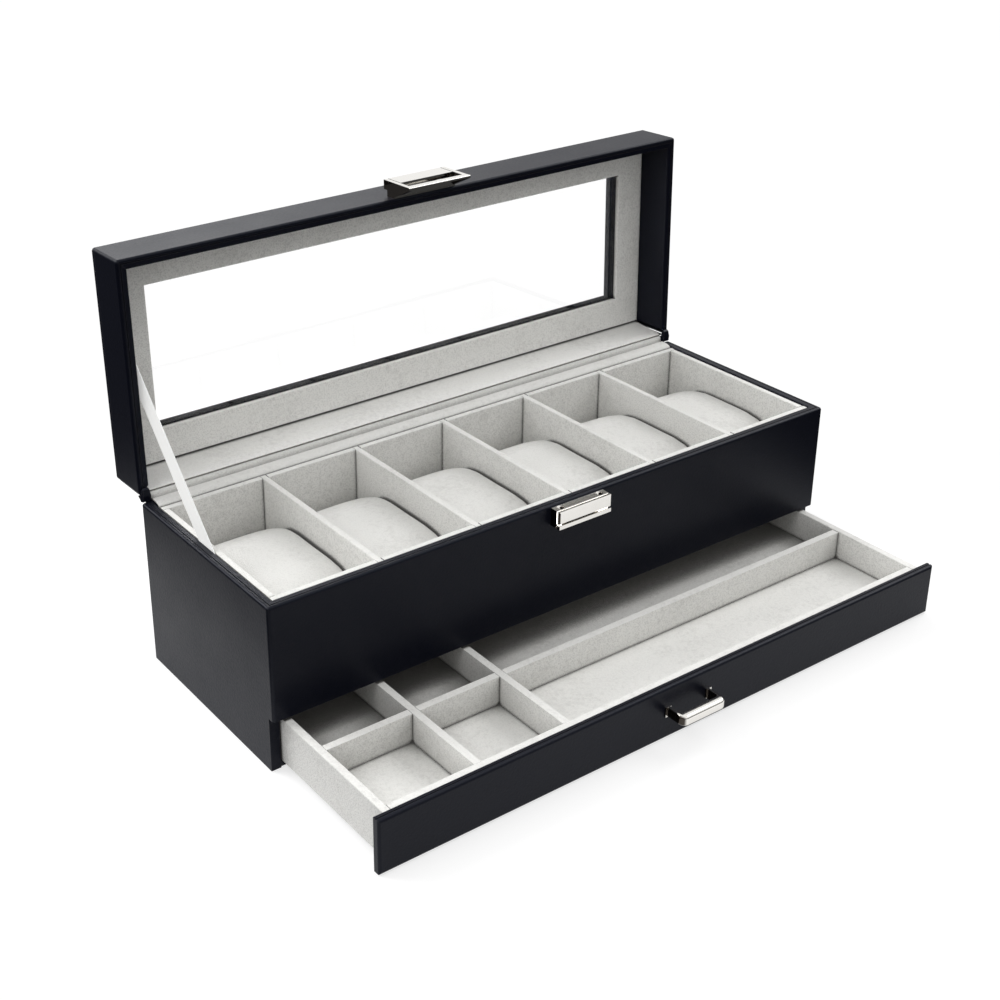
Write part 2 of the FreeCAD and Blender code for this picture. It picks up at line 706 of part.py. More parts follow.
def make_lid_walls():
    """Four mitred boards under the lid's window frame, creased round their rim like the case."""
    length = f"{FRAME_BOTTOM} - {LID_RIM}"
    for label, outer, inward in (("lid_front_wall", LID_FRONT, 1), ("lid_back_wall", LID_BACK, -1)):
        body = new_body(label)
        plan = outline(body, f"{label}_plan", "XY_Plane", end_wall_plan(outer, inward), offset=LID_RIM)
        pad(body, f"{label}_board", plan, length)
        corner = ("y", -inward, f"{outer} + {inward} * {MITRE_ROUND}")
        round_edges(body, f"{label}_rim", "Sheet.shoulder", edges_at_height(LID_RIM, corner))
        inner = (f"{outer} + {inward} * Sheet.wall", LID_RIM)
        round_edges(body, f"{label}_inner_rim", "Sheet.inner_round", edges_along_x(inner))
        if label == "lid_front_wall":
            press_crease_along_x(body, outer, inward, LID_RIM, True)
            centres = [(f"{hand} * Sheet.screw_spacing / 2", HASP_SCREW_Z) for hand in (-1, 1)]
            screw_holes(body, centres, LID_FRONT, "Sheet.wall", LID_INNER_FRONT)
        set_on_lid(body)
    for label, hand in (("lid_left_wall", -1), ("lid_right_wall", 1)):
        body = new_body(label)
        plan = outline(
            body, f"{label}_plan", "XY_Plane", side_wall_plan(hand, LID_FRONT, LID_BACK), offset=LID_RIM
        )
        pad(body, f"{label}_board", plan, length)
        outside = ("x", hand, f"{hand} * ({END} - {MITRE_ROUND})")
        round_edges(body, f"{label}_rim", "Sheet.shoulder", edges_at_height(LID_RIM, outside))
        inner = (("x", -hand, f"{hand} * {INNER_END}"),)
        round_edges(body, f"{label}_inner_rim", "Sheet.inner_round", edges_at_height(LID_RIM, *inner))
        press_crease_along_y(body, hand, LID_FRONT, LID_BACK, LID_RIM, True)
        set_on_lid(body)


def window(margin_side, margin_end, grow="0"):
    """The lid's window as a rectangle, set in from the case's outline and grown by one amount."""
    half = f"({END} - {margin_side} + {grow})"
    return rectangle(
        f"-{half}", half, f"{LID_FRONT} + {margin_end} - {grow}", f"{LID_BACK} - {margin_end} + {grow}"
    )


def make_lid_glazing():
    """The window frame with its rebate, the pane in it, and the velvet frame that holds the pane."""
    body = new_body("lid_window_frame")
    arc = "Sheet.corner_round"
    rim = [
        (f"-{END} + {arc}", LID_FRONT),
        (f"{END} - {arc}", LID_FRONT, arc, 1),
        (END, f"{LID_FRONT} + {arc}"),
        (END, f"{LID_BACK} - {arc}", arc, 1),
        (f"{END} - {arc}", LID_BACK),
        (f"-{END} + {arc}", LID_BACK, arc, 1),
        (f"-{END}", f"{LID_BACK} - {arc}"),
        (f"-{END}", f"{LID_FRONT} + {arc}", arc, 1),
    ]
    opening = window("Sheet.window_margin_side", "Sheet.window_margin_end")
    plan = outline(body, "frame_plan", "XY_Plane", rim, opening, offset=FRAME_BOTTOM)
    pad(body, "frame_board", plan, "Sheet.frame_board")
    round_edges(body, "frame_edges", "Sheet.window_round", edges_at_height(LID_TOP))
    rebate = "(Sheet.glass_lap + Sheet.glass_gap)"
    lap = window("Sheet.window_margin_side", "Sheet.window_margin_end", rebate)
    rebate = outline(body, "rebate_plan", "XY_Plane", lap, offset=FRAME_BOTTOM)
    pocket(body, "rebate", rebate, "Sheet.glass_thick + Sheet.glass_gap", flip=True)
    set_on_lid(body)

    body = new_body("lid_glass")
    pane = window("Sheet.window_margin_side", "Sheet.window_margin_end", "Sheet.glass_lap")
    sketch = outline(body, "pane_plan", "XY_Plane", pane, offset=FRAME_BOTTOM)
    pad(body, "pane", sketch, "Sheet.glass_thick")
    set_on_lid(body)

    body = new_body("lid_velvet_frame")
    end = f"({INNER_END} - Sheet.velvet_gap)"
    rim = rectangle(f"-{end}", end, f"{LID_INNER_FRONT} + Sheet.velvet_gap", LID_INNER_BACK)
    opening = window("Sheet.velvet_margin_side", "Sheet.velvet_margin_end")
    plan = outline(body, "velvet_plan", "XY_Plane", rim, opening, offset=VELVET_FACE)
    pad(body, "velvet_board", plan, "Sheet.velvet_board")
    inside = [("x", 1, opening[0][0]), ("x", -1, opening[1][0])]
    round_edges(body, "velvet_edges", "Sheet.inner_round", edges_at_height(VELVET_FACE, *inside))
    set_on_lid(body)

    end = f"({INNER_END} - Sheet.velvet_gap)"
    y = (f"{LID_INNER_BACK} - Sheet.lining", LID_INNER_BACK)
    body = board("lid_back_lining", (f"-{end}", end), y, (f"{LID_RIM} + Sheet.lining_rise", VELVET_FACE))
    set_on_lid(body)


def make_hinge():
    """The velvet cloth that turns up from behind the tray over the back board and into the lid."""
    body = new_body("hinge_cloth")
    low = f"({LID_BACK} - Sheet.cloth_gap - Sheet.cloth)"
    inner = f"({LID_INNER_BACK} - Sheet.cloth_gap)"
    rim = f"({LID_RIM} - Sheet.cloth_proud)"
    lap = f"({LID_RIM} + Sheet.lining_rise - Sheet.cloth_gap)"
    crest = f"({TRAY_TOP} - Sheet.tray_drop)"
    valley = f"({INNER_BACK} + 0.5 * Sheet.wall)"
    valley_z = "(Sheet.case_height + 2 * Sheet.cloth + Sheet.cloth_gap)"
    face = f"{INNER_BACK} - Sheet.cloth"
    profile = [
        (face, f"{crest} - Sheet.cloth_tuck"),
        (INNER_BACK, f"{crest} - Sheet.cloth_tuck"),
        (INNER_BACK, "Sheet.case_height + Sheet.cloth_gap"),
        (f"{valley} + 0.3 * Sheet.cloth", f"{valley_z} - Sheet.cloth"),
        on_lid(low, f"{rim} + Sheet.cloth"),
        on_lid(inner, f"{rim} + Sheet.cloth"),
        on_lid(inner, lap),
        on_lid(f"{inner} - Sheet.cloth", lap),
        on_lid(f"{inner} - Sheet.cloth", rim),
        on_lid(low, rim),
        (valley, valley_z),
        (face, f"{crest} + Sheet.cloth"),
    ]
    sketch = outline(body, "cloth_profile", "YZ_Plane", profile)
    end = f"({INNER_END} - Sheet.velvet_gap)"
    pad(body, "cloth_strip", sketch, f"2 * {end}", True)
    round_edges(body, "cloth_outer_turn", "Sheet.cloth_round", edges_along_x(profile[8]))
    round_edges(body, "cloth_inner_turn", "Sheet.cloth_round - Sheet.cloth", edges_along_x(profile[5]))

    body = new_body("hinge_leather")
    bottom = "(Sheet.case_height + 0.5 * Sheet.lid_gap)"
    front = f"({BACK} - 0.37 * Sheet.fold_depth)"
    back = f"({BACK} + 0.63 * Sheet.fold_depth)"
    top = f"({on_lid(LID_BACK, LID_RIM)[1]} - 0.5 * Sheet.cloth_gap - 0.03 * Sheet.fold_depth)"
    fold = rectangle(front, back, bottom, top)
    pad(body, "fold", outline(body, "fold_profile", "YZ_Plane", fold), "Sheet.case_length", True)
    round_edges(body, "fold_turn", f"({top} - {bottom}) * 0.45", edges_along_x((back, bottom), (back, top)))


def make_ribbon_stay():
    """A satin ribbon from the lid's left wall to the slot between the case's left wall and the tray."""
    body = new_body("ribbon_stay")
    lid_y, lid_z = on_lid("-Sheet.ribbon_reach", LID_RIM)
    rise = f"({lid_z} - {TRAY_TOP})"
    run = f"({lid_y} - Sheet.ribbon_at)"
    half = "(Sheet.ribbon_width / 2)"
    strip = rectangle("-Sheet.ribbon_tuck", f"hypot({run}; {rise}) + Sheet.ribbon_tuck", f"-{half}", half)
    plan = outline(body, "ribbon_plan", "YZ_Plane", strip)
    pad(body, "ribbon_strip", plan, "Sheet.ribbon_thick")
    body.Placement.Rotation = FreeCAD.Rotation(Vector(1, 0, 0), 45)
    body.setExpression("Placement.Rotation.Angle", f"atan2({rise}; {run})")
    body.setExpression("Placement.Base.x", f"-{INNER_END} + (Sheet.tray_side_gap - Sheet.ribbon_thick) / 2")
    body.setExpression("Placement.Base.y", "Sheet.ribbon_at")
    body.setExpression("Placement.Base.z", TRAY_TOP)


def make_clasp_housing():
    """The cast block on the front panel, with a lip below and a cavity for the sprung push plate."""
    body = new_body("clasp_housing")
    profile = [
        (FRONT, CLASP_BOTTOM),
        (FRONT, CLASP_TOP),
        (f"{FRONT} - Sheet.housing_depth", CLASP_TOP),
        (f"{FRONT} - Sheet.housing_depth", LIP_TOP),
        (f"{FRONT} - Sheet.clasp_depth", LIP_TOP),
        (f"{FRONT} - Sheet.clasp_depth", CLASP_BOTTOM),
    ]
    sketch = outline(body, "housing_profile", "YZ_Plane", profile)
    pad(body, "housing_block", sketch, "Sheet.clasp_width", True)
    half = "(Sheet.stem_width / 2 + Sheet.cap_gap)"
    low = f"({STEM_MIDDLE} - Sheet.stem_height / 2 - Sheet.cap_gap)"
    high = f"({STEM_MIDDLE} + Sheet.stem_height / 2 + Sheet.cap_gap)"
    mouth = outline(
        body,
        "cavity_mouth",
        "XZ_Plane",
        rectangle(f"-{half}", half, low, high),
        offset=f"-({FRONT}) + Sheet.housing_depth",
    )
    pocket(body, "cavity", mouth, "Sheet.housing_depth - Sheet.cavity_floor")
    bores = [(f"{hand} * Sheet.bore_spacing / 2", f"{FRONT} - Sheet.housing_depth / 2") for hand in (-1, 1)]
    pocket(
        body,
        "top_bores",
        circles(body, "bore_plan", "XY_Plane", bores, "Sheet.bore_radius", offset=CLASP_TOP),
        "Sheet.bore_depth",
    )
    rims = edges_at_height(CLASP_TOP)
    bevel_edges(
        body,
        "bore_bevels",
        "Sheet.bore_bevel",
        lambda points, edge: isinstance(edge.Curve, Part.Circle) and rims(points, edge),
    )
    pin = [(f"{FRONT} - Sheet.pin_depth", f"{CLASP_BOTTOM} + 1.4 * Sheet.pin_radius")]
    hole = circles(body, "pin_plan", "YZ_Plane", pin, "Sheet.pin_radius")
    pocket(body, "pin_hole", hole, "2 * Sheet.clasp_width", True)
    seats = [(f"{hand} * Sheet.screw_spacing / 2", SCREW_Z) for hand in (-1, 1)]
    tapped = circles(body, "tapped_plan", "XZ_Plane", seats, "Sheet.screw_radius", offset=f"-({FRONT})")
    pocket(body, "tapped_holes", tapped, "Sheet.screw_bite + Sheet.screw_gap", flip=True)

    body = new_body("clasp_pin")
    centre = circles(body, "pin_section", "YZ_Plane", pin, "Sheet.pin_radius")
    pad(body, "pin_rod", centre, "Sheet.clasp_width + 2 * Sheet.pin_proud", True)
    bevel_edges(
        body, "pin_ends", "Sheet.pin_proud / 2", lambda points, edge: isinstance(edge.Curve, Part.Circle)
    )
    screw_pair("clasp_screws", "Sheet.screw_spacing", INNER_FRONT, SCREW_Z, "Sheet.wall + Sheet.screw_bite")


def make_push_plate():
    """The sprung plate that keeps the hasp's bar down, with a stem that slides in the housing."""
    body = new_body("clasp_push_plate")
    back = f"({FRONT} - Sheet.clasp_depth + Sheet.cap_thick)"
    low = f"({STEM_MIDDLE} - Sheet.stem_height / 2)"
    high = f"({STEM_MIDDLE} + Sheet.stem_height / 2)"
    half = "(Sheet.clasp_width / 2)"
    cap = rectangle(f"-{half}", half, CAP_BOTTOM, CLASP_TOP)
    sketch = outline(body, "cap_outline", "XZ_Plane", cap, offset=f"-({back})")
    pad(body, "cap", sketch, "Sheet.cap_thick")
    front = value(f"{FRONT} - Sheet.clasp_depth")
    bevel_edges(
        body, "cap_bevel", "0.25 * Sheet.cap_thick", lambda points, edge: all(same(p.y, front) for p in points)
    )
    half = "(Sheet.stem_width / 2)"
    stem = rectangle(f"-{half}", half, low, high)
    stem = outline(body, "stem_outline", "XZ_Plane", stem, offset=f"-({FRONT}) + {STEM_BACK}")
    pad(body, "stem", stem, "Sheet.stem_length")
    seats = [(f"{hand} * Sheet.spring_spacing / 2", STEM_MIDDLE) for hand in (-1, 1)]
    bores = circles(
        body,
        "spring_seats",
        "XZ_Plane",
        seats,
        "Sheet.spring_radius + Sheet.catch_gap",
        offset=f"-({FRONT}) + {STEM_BACK}",
    )
    depth = f"(Sheet.spring_length + Sheet.cavity_floor - {STEM_BACK})"
    pocket(body, "spring_bores", bores, depth, flip=True)

    springs = []
    for number, hand in ((1, -1), (2, 1)):
        coil = doc.addObject("Part::Cut", f"spring_{number}")
        outer = doc.addObject("Part::Cylinder", f"spring_{number}_outside")
        inner = doc.addObject("Part::Cylinder", f"spring_{number}_inside")
        outer.setExpression("Radius", "Sheet.spring_radius")
        inner.setExpression("Radius", "Sheet.spring_hole")
        for piece in (outer, inner):
            piece.setExpression("Height", "Sheet.spring_length")
            piece.Placement.Rotation = FreeCAD.Rotation(Vector(1, 0, 0), 90)
            piece.setExpression("Placement.Base.x", f"{hand} * Sheet.spring_spacing / 2")
            piece.setExpression("Placement.Base.y", f"{FRONT} - Sheet.cavity_floor")
            piece.setExpression("Placement.Base.z", STEM_MIDDLE)
        coil.Base = outer
        coil.Tool = inner
        springs.append(coil)
    pair = doc.addObject("Part::Compound", "clasp_springs")
    pair.Label = "clasp_springs"
    pair.Links = springs
    parts.append(pair)


def make_hasp():
    """The lid's half of the clasp: a hollow plate whose window drops over the housing's push plate."""
    body = new_body("clasp_hasp")

    def proud(distance):
        return f"({LID_FRONT} - {distance})"

    bar_bottom = f"({BAR_TOP} - Sheet.hasp_bar_height)"
    opening_top = f"({CLASP_TOP} + Sheet.cap_gap - {HINGE_Z})"
    foot_low = f"({LID_RIM} + Sheet.inner_round)"
    foot_high = f"({foot_low} + Sheet.hasp_foot)"
    top = f"({LID_RIM} + Sheet.hasp_top)"
    profile = [
        (proud("0"), foot_low),
        (proud("Sheet.hasp_toe"), foot_low),
        (proud(f"({BAR_BACK} - Sheet.catch_gap)"), bar_bottom),
        (proud(HASP_FACE), bar_bottom),
        (proud(HASP_FACE), top),
        (proud("Sheet.hasp_step"), top),
        (proud("Sheet.hasp_step"), foot_high),
        (proud("0"), foot_high),
    ]
    sketch = outline(body, "hasp_profile", "YZ_Plane", profile)
    pad(body, "hasp_block", sketch, f"2 * ({HASP_HALF} + Sheet.hasp_border)", True)
    round_edges(body, "hasp_front_edge", "Sheet.hasp_round", edges_along_x((proud(HASP_FACE), bar_bottom)))
    window = [
        (proud("-1"), f"{bar_bottom} - 1"),
        (proud(BAR_BACK), f"{bar_bottom} - 1"),
        (proud(BAR_BACK), BAR_TOP),
        (proud(f"({HASP_FACE} + 1)"), BAR_TOP),
        (proud(f"({HASP_FACE} + 1)"), opening_top),
        (proud("-1"), opening_top),
    ]
    sketch = outline(body, "hasp_window_profile", "YZ_Plane", window)
    pocket(body, "hasp_window", sketch, f"2 * {HASP_HALF}", True)
    hollow = rectangle(
        proud(f"({HASP_FACE} - Sheet.hasp_bar)"),
        proud("Sheet.hollow_floor"),
        f"({opening_top} - 1)",
        f"({opening_top} + Sheet.hollow_depth)",
    )
    sketch = outline(body, "hasp_hollow_profile", "YZ_Plane", hollow)
    pocket(body, "hasp_hollow", sketch, f"2 * ({HASP_HALF} - Sheet.hasp_groove)", True)
    grooves = []
    for hand in (-1, 1):
        x = (f"{hand} * {HASP_HALF}", f"{hand} * ({HASP_HALF} - Sheet.hasp_groove)")
        grooves.append(rectangle(*sorted(x, key=value), opening_top, f"{top} + 1"))
    sketch = outline(body, "hasp_groove_lines", "XZ_Plane", *grooves, offset=f"-{proud(HASP_FACE)}")
    pocket(body, "hasp_grooves", sketch, "Sheet.hasp_groove")
    seats = [(f"{hand} * Sheet.screw_spacing / 2", HASP_SCREW_Z) for hand in (-1, 1)]
    face = f"-{LID_FRONT}"
    tapped = circles(body, "hasp_tapped_plan", "XZ_Plane", seats, "Sheet.screw_radius", offset=face)
    pocket(body, "hasp_tapped_holes", tapped, "Sheet.screw_bite + Sheet.screw_gap", flip=True)
    set_on_lid(body)
    pair = screw_pair(
        "hasp_screws", "Sheet.screw_spacing", LID_INNER_FRONT, HASP_SCREW_Z, "Sheet.wall + Sheet.screw_bite"
    )
    set_on_lid(pair)

    body = new_body("hasp_catch")
    level = f"({CAP_BOTTOM} - Sheet.catch_edge - {HINGE_Z})"
    tip = f"({BAR_BACK} - Sheet.catch_reach)"
    tooth = [
        (proud(f"({BAR_BACK} + Sheet.catch_thick)"), BAR_TOP),
        (proud(f"({BAR_BACK} + Sheet.catch_thick)"), f"{BAR_TOP} + Sheet.catch_rise"),
        (proud(BAR_BACK), f"{BAR_TOP} + Sheet.catch_rise"),
        (proud(BAR_BACK), level),
        (proud(tip), level),
        (proud(tip), f"{level} - Sheet.catch_edge"),
    ]
    pad(body, "catch_tooth", outline(body, "catch_profile", "YZ_Plane", tooth), "Sheet.catch_width", True)
    set_on_lid(body)
    body.setExpression("Placement.Base.x", "Sheet.catch_at")


def make_drawer_front():
    body = new_body("drawer_front")
    low = "Sheet.drawer_floor_gap"
    high = "(Sheet.panel_bottom - Sheet.drawer_top_gap)"
    plan = rectangle(f"-{DRAWER_END}", DRAWER_END, FRONT, BOX_FRONT)
    plan = outline(body, "drawer_front_plan", "XY_Plane", plan, offset=low)
    pad(body, "drawer_front_board", plan, f"{high} - {low}")
    front = value(FRONT)

    def on_face(points, edge):
        return all(same(p.y, front) for p in points)

    round_edges(body, "drawer_front_edges", "Sheet.shoulder", on_face)
    near = f"{FRONT} + Sheet.crease_inset"
    line = rectangle(f"-{DRAWER_END}", DRAWER_END, near, f"{near} + Sheet.crease_width")
    sketch = outline(body, "drawer_crease_line", "XY_Plane", line, offset=high)
    pocket(body, "drawer_crease", sketch, "Sheet.crease_depth")
    spacing = "(Sheet.pull_width - Sheet.pull_leg)"
    centres = [(f"{hand} * {spacing} / 2", PULL_Z) for hand in (-1, 1)]
    screw_holes(body, centres, FRONT, "Sheet.drawer_front", BOX_FRONT, "pull_screw")
    set_in_drawer(body)
    length = "Sheet.drawer_front + Sheet.screw_bite"
    pair = screw_pair("pull_screws", spacing, BOX_FRONT, PULL_Z, length, "pull_screw")
    set_in_drawer(pair)


def make_pull():
    """A U-shaped bar pull with rounded corners, on two small feet."""
    body = new_body("drawer_pull")
    half = "(Sheet.pull_width / 2)"
    inner = "(Sheet.pull_width / 2 - Sheet.pull_leg)"
    face = f"({FRONT} - Sheet.pull_depth)"
    inside = f"({face} + Sheet.pull_bar)"
    low = f"({PULL_Z} - Sheet.pull_height / 2)"
    high = f"({PULL_Z} + Sheet.pull_height / 2)"
    bow = [
        (f"-{half}", FRONT),
        (f"-{half}", face),
        (half, face),
        (half, FRONT),
        (inner, FRONT),
        (inner, inside),
        (f"-{inner}", inside),
        (f"-{inner}", FRONT),
    ]
    pad(body, "pull_bow", outline(body, "pull_plan", "XY_Plane", bow, offset=low), "Sheet.pull_height")
    corners = edges_along_z((f"-{half}", face), (half, face))
    round_edges(body, "pull_corners", "Sheet.pull_corner", corners)
    corners = edges_along_z((f"-{inner}", inside), (inner, inside))
    round_edges(body, "pull_inner_corners", "Sheet.pull_inner_corner", corners)
    limit = f"{face} + Sheet.pull_corner"
    outer = [value(f"{hand} * {half}") for hand in (-1, 1)]
    front = value(limit)
    levels = (value(low), value(high))

    def outer_rim(points, edge):
        level = all(any(same(p.z, z) for z in levels) for p in points) and same(points[0].z, points[-1].z)
        return level and all(p.y <= front + 1e-5 or any(same(p.x, x) for x in outer) for p in points)

    round_edges(body, "pull_edges", "Sheet.pull_edge", outer_rim)
    feet = []
    for hand in (-1, 1):
        outer_end = f"{hand} * ({half} + Sheet.pull_foot_lap)"
        inner_end = f"{hand} * ({inner} - Sheet.pull_foot_lap)"
        feet.append(rectangle(*sorted((outer_end, inner_end), key=value), low, high))
    sketch = outline(body, "pull_feet_outline", "XZ_Plane", *feet, offset=f"-({FRONT})")
    pad(body, "pull_feet", sketch, "Sheet.pull_foot")
    spacing = "(Sheet.pull_width - Sheet.pull_leg)"
    seats = [(f"{hand} * {spacing} / 2", PULL_Z) for hand in (-1, 1)]
    face = f"-({FRONT})"
    tapped = circles(body, "pull_tapped_plan", "XZ_Plane", seats, "Sheet.pull_screw_radius", offset=face)
    pocket(body, "pull_tapped_holes", tapped, "Sheet.screw_bite + Sheet.screw_gap", flip=True)
    set_in_drawer(body)


def make_drawer_box():
    x = (f"-{BOX_END}", BOX_END)
    inner_x = (f"-{BOX_INNER_END}", BOX_INNER_END)
    z = (BOX_FLOOR, BOX_TOP)
    pieces = [
        board("drawer_base", x, (BOX_FRONT, BOX_BACK), (BOX_BOTTOM, BOX_FLOOR)),
        board("drawer_floor_pad", inner_x, (BOX_INNER_FRONT, BOX_INNER_BACK), (BOX_FLOOR, PAD_TOP)),
    ]
    walls = [
        board("drawer_left_wall", (f"-{BOX_END}", f"-{BOX_INNER_END}"), (BOX_FRONT, BOX_BACK), z),
        board("drawer_right_wall", (BOX_INNER_END, BOX_END), (BOX_FRONT, BOX_BACK), z),
        board("drawer_inner_front", inner_x, (BOX_FRONT, BOX_INNER_FRONT), z),
        board("drawer_back_wall", inner_x, (BOX_INNER_BACK, BOX_BACK), z),
    ]
    for body in walls:
        round_edges(body, f"{body.Label}_rim", "Sheet.tray_round", edges_at_height(BOX_TOP))
    for body in pieces + walls:
        set_in_drawer(body)


def short_divider_x(number):
    return f"(-{BOX_INNER_END} + {number} * Sheet.ring_cell + {number - 0.5} * Sheet.divider)"


def make_drawer_dividers():
    """A long divider slotted from above, and two short ones slotted from below that cross it."""
    gap = "Sheet.lap_gap"
    body = new_body("drawer_divider_long")
    top = []
    for number in (2, 1):
        x = short_divider_x(number)
        half = f"(Sheet.divider / 2 + {gap})"
        top += [
            (f"{x} + {half}", DIVIDER_TOP),
            (f"{x} + {half}", DIVIDER_HALF_LAP),
            (f"{x} - {half}", DIVIDER_HALF_LAP),
            (f"{x} - {half}", DIVIDER_TOP),
        ]
    end = f"({BOX_INNER_END} - {gap})"
    profile = [(f"-{end}", PAD_TOP), (end, PAD_TOP), (end, DIVIDER_TOP)] + top + [(f"-{end}", DIVIDER_TOP)]
    sketch = outline(body, "long_divider_profile", "XZ_Plane", profile, offset=f"-({LONG_BACK})")
    pad(body, "long_divider_board", sketch, "Sheet.divider")
    set_in_drawer(body)
    for number in (1, 2):
        body = new_body(f"drawer_divider_short_{number}")
        near = f"{BOX_INNER_FRONT} + {gap}"
        far = f"{BOX_INNER_BACK} - {gap}"
        profile = [
            (near, PAD_TOP),
            (f"{LONG_FRONT} - {gap}", PAD_TOP),
            (f"{LONG_FRONT} - {gap}", f"{DIVIDER_HALF_LAP} + {gap}"),
            (f"{LONG_BACK} + {gap}", f"{DIVIDER_HALF_LAP} + {gap}"),
            (f"{LONG_BACK} + {gap}", PAD_TOP),
            (far, PAD_TOP),
            (far, DIVIDER_TOP),
            (near, DIVIDER_TOP),
        ]
        sketch = outline(body, f"short_divider_{number}_profile", "YZ_Plane", profile)
        pad(body, f"short_divider_{number}_board", sketch, "Sheet.divider", True)
        body.setExpression("Placement.Base.x", short_divider_x(number))
        set_in_drawer(body)


make_case_front()
make_case_side("case_left_side", -1)
make_case_side("case_right_side", 1)
make_case_back()
make_case_floor()
make_tray()
for place in range(1, int(value("Sheet.cell_count"))):
    make_tray_divider(place)
for place in range(1, int(value("Sheet.cell_count")) + 1):
    make_cushion(place)
make_lid_walls()
make_lid_glazing()
make_hinge()
make_ribbon_stay()
make_clasp_housing()
make_push_plate()
make_hasp()
make_drawer_front()
make_pull()
make_drawer_box()
make_drawer_dividers()
doc.recompute()

for item in doc.Objects:
    if "Invalid" in item.State or "Error" in item.State:
        raise RuntimeError(f"{item.Label} failed: {item.State}")
for part in parts:
    if part.Shape.isNull() or not part.Shape.isValid():
        raise RuntimeError(f"{part.Label} has no valid shape")

os.makedirs("parts", exist_ok=True)
for part in parts:
    part.Shape.exportStep(os.path.join("parts", f"{part.Label}.step"))
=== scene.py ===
import json
import math

import bmesh
import bpy
import numpy as np
from mathutils import Matrix, Vector, noise


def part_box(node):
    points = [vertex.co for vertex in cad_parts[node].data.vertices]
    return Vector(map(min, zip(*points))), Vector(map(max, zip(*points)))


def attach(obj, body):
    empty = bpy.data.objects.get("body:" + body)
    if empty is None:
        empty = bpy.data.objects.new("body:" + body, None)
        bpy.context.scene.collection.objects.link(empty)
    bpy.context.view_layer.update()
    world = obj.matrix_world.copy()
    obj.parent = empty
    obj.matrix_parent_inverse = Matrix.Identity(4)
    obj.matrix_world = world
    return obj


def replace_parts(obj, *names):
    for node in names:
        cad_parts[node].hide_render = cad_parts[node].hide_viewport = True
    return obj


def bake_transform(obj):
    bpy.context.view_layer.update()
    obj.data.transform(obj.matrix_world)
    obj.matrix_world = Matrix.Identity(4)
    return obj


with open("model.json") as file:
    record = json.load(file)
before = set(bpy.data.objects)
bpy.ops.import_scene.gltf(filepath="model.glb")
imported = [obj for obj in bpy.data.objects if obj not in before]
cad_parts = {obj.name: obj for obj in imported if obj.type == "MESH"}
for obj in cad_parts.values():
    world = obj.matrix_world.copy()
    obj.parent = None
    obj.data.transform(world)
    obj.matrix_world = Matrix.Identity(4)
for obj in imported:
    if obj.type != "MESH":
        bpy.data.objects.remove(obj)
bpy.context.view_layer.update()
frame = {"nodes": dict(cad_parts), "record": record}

nodes = frame["nodes"]
MM = 0.001
ALONG_CASE = Vector((1.0, 0.0, 0.0))

# Where the camera stands and looks, as fitted to the photograph's straight edges
CAMERA_PLACE = Vector((-0.42182, -0.52750, 0.41425))
CAMERA_AZIMUTH = math.radians(-34.483)
CAMERA_ELEVATION = math.radians(24.796)
CAMERA_ROLL = math.radians(-0.845)
CAMERA_LENS = 57.409
CAMERA_SENSOR = 36.0
CAMERA_SHIFT = (0.10426, -0.08827)
CAMERA_NEAR = 0.01

# Soft lamps: place and power
LAMPS = {
    "left": ((-1.0, 1.2, 1.4), 25.0),
    "side": ((-1.5, -0.3, 1.5), 6.0),
    "right": ((1.5, 0.0, 1.5), 15.0),
    "back": ((0.7, 1.9, 1.5), 11.0),
}
LAMP_SIZE = 1.2
LAMP_AIM = Vector((0.0, 0.0, 0.08))

# Sky: the light it sheds, the white that is seen, and the dark horizon that polished surfaces mirror,
# which ends lower behind the object than in front of it
SKY_LEVEL = 0.60
HORIZON_GLOW = 0.10
HORIZON_RANGE = (0.16, 0.31)
HORIZON_TILT = 0.12

# Floor: its grey, its own glow and its mirrored glow near the object, and all but the glow far from it
FLOOR_SIZE = 12.0
FLOOR_DROP = 0.2 * MM
FLOOR_GREY = 0.42
FLOOR_GLOW = 0.66
FLOOR_MIRRORED = 0.55
FLOOR_FAR = 0.02
FLOOR_RANGE = (0.10, 0.24)
FOOTPRINT_OFFSET = (0.0, 30.0 * MM, 0.0)
FOOTPRINT_HALF = (160.0 * MM, 110.0 * MM, 1.0)
FOOTPRINT_STRETCH = (3.0, 1.0, 1.0)

# Linear colours
WHITE = (1.0, 1.0, 1.0)
LEATHER = (0.0036, 0.0043, 0.0096)
# Leather edges: partly wear, partly a painted highlight along the rims
LEATHER_WORN_AND_HIGHLIT = (0.024, 0.024, 0.029)
LEATHER_GLEAM = (0.88, 0.92, 1.0)
VELVET = (0.80, 0.795, 0.770)
VELVET_DEEP = (0.58, 0.572, 0.55)
# Painted shade in the velvet's corners, gaps and hollows
VELVET_CORNER_SHADE = (0.07, 0.066, 0.060)
RIBBON = (0.96, 0.96, 0.945)
CHROME = (0.86, 0.84, 0.80)
# Painted shade in the metal's hollows, and a painted dark reflection on its ends
CHROME_SHADE = (0.030, 0.022, 0.016)
STEEL = (0.50, 0.50, 0.50)
FELT = (0.02, 0.02, 0.02)

# How much lighter the velvet is painted in the lid and the drawer, as painted light, and the painted shade that
# darkens the drawer's where little sky reaches it, as (openness, amount)
LID_VELVET_PAINTED_LIGHT = 1.15
DRAWER_VELVET_PAINTED_LIGHT = 1.08
DRAWER_HOLLOW_SHADE = ((0.12, 0.92), (0.24, 0.82), (0.36, 0.34), (0.44, 0.0))
HOLLOW_SHADE_REACH = 60.0 * MM
# How far the painted shade in the velvet's corners and gaps reaches
CORNER_SHADE_REACH = 2.2 * MM

# How far the painted shade of a hollow reaches on the solid hardware and the hasp, and how far the clasp's
# front turns to the sky
HARDWARE_SHADE_REACH = 1.4 * MM
HASP_SHADE_REACH = 3.2 * MM
CLASP_LIFT = 0.63

SHARP_ANGLE = math.radians(24.0)

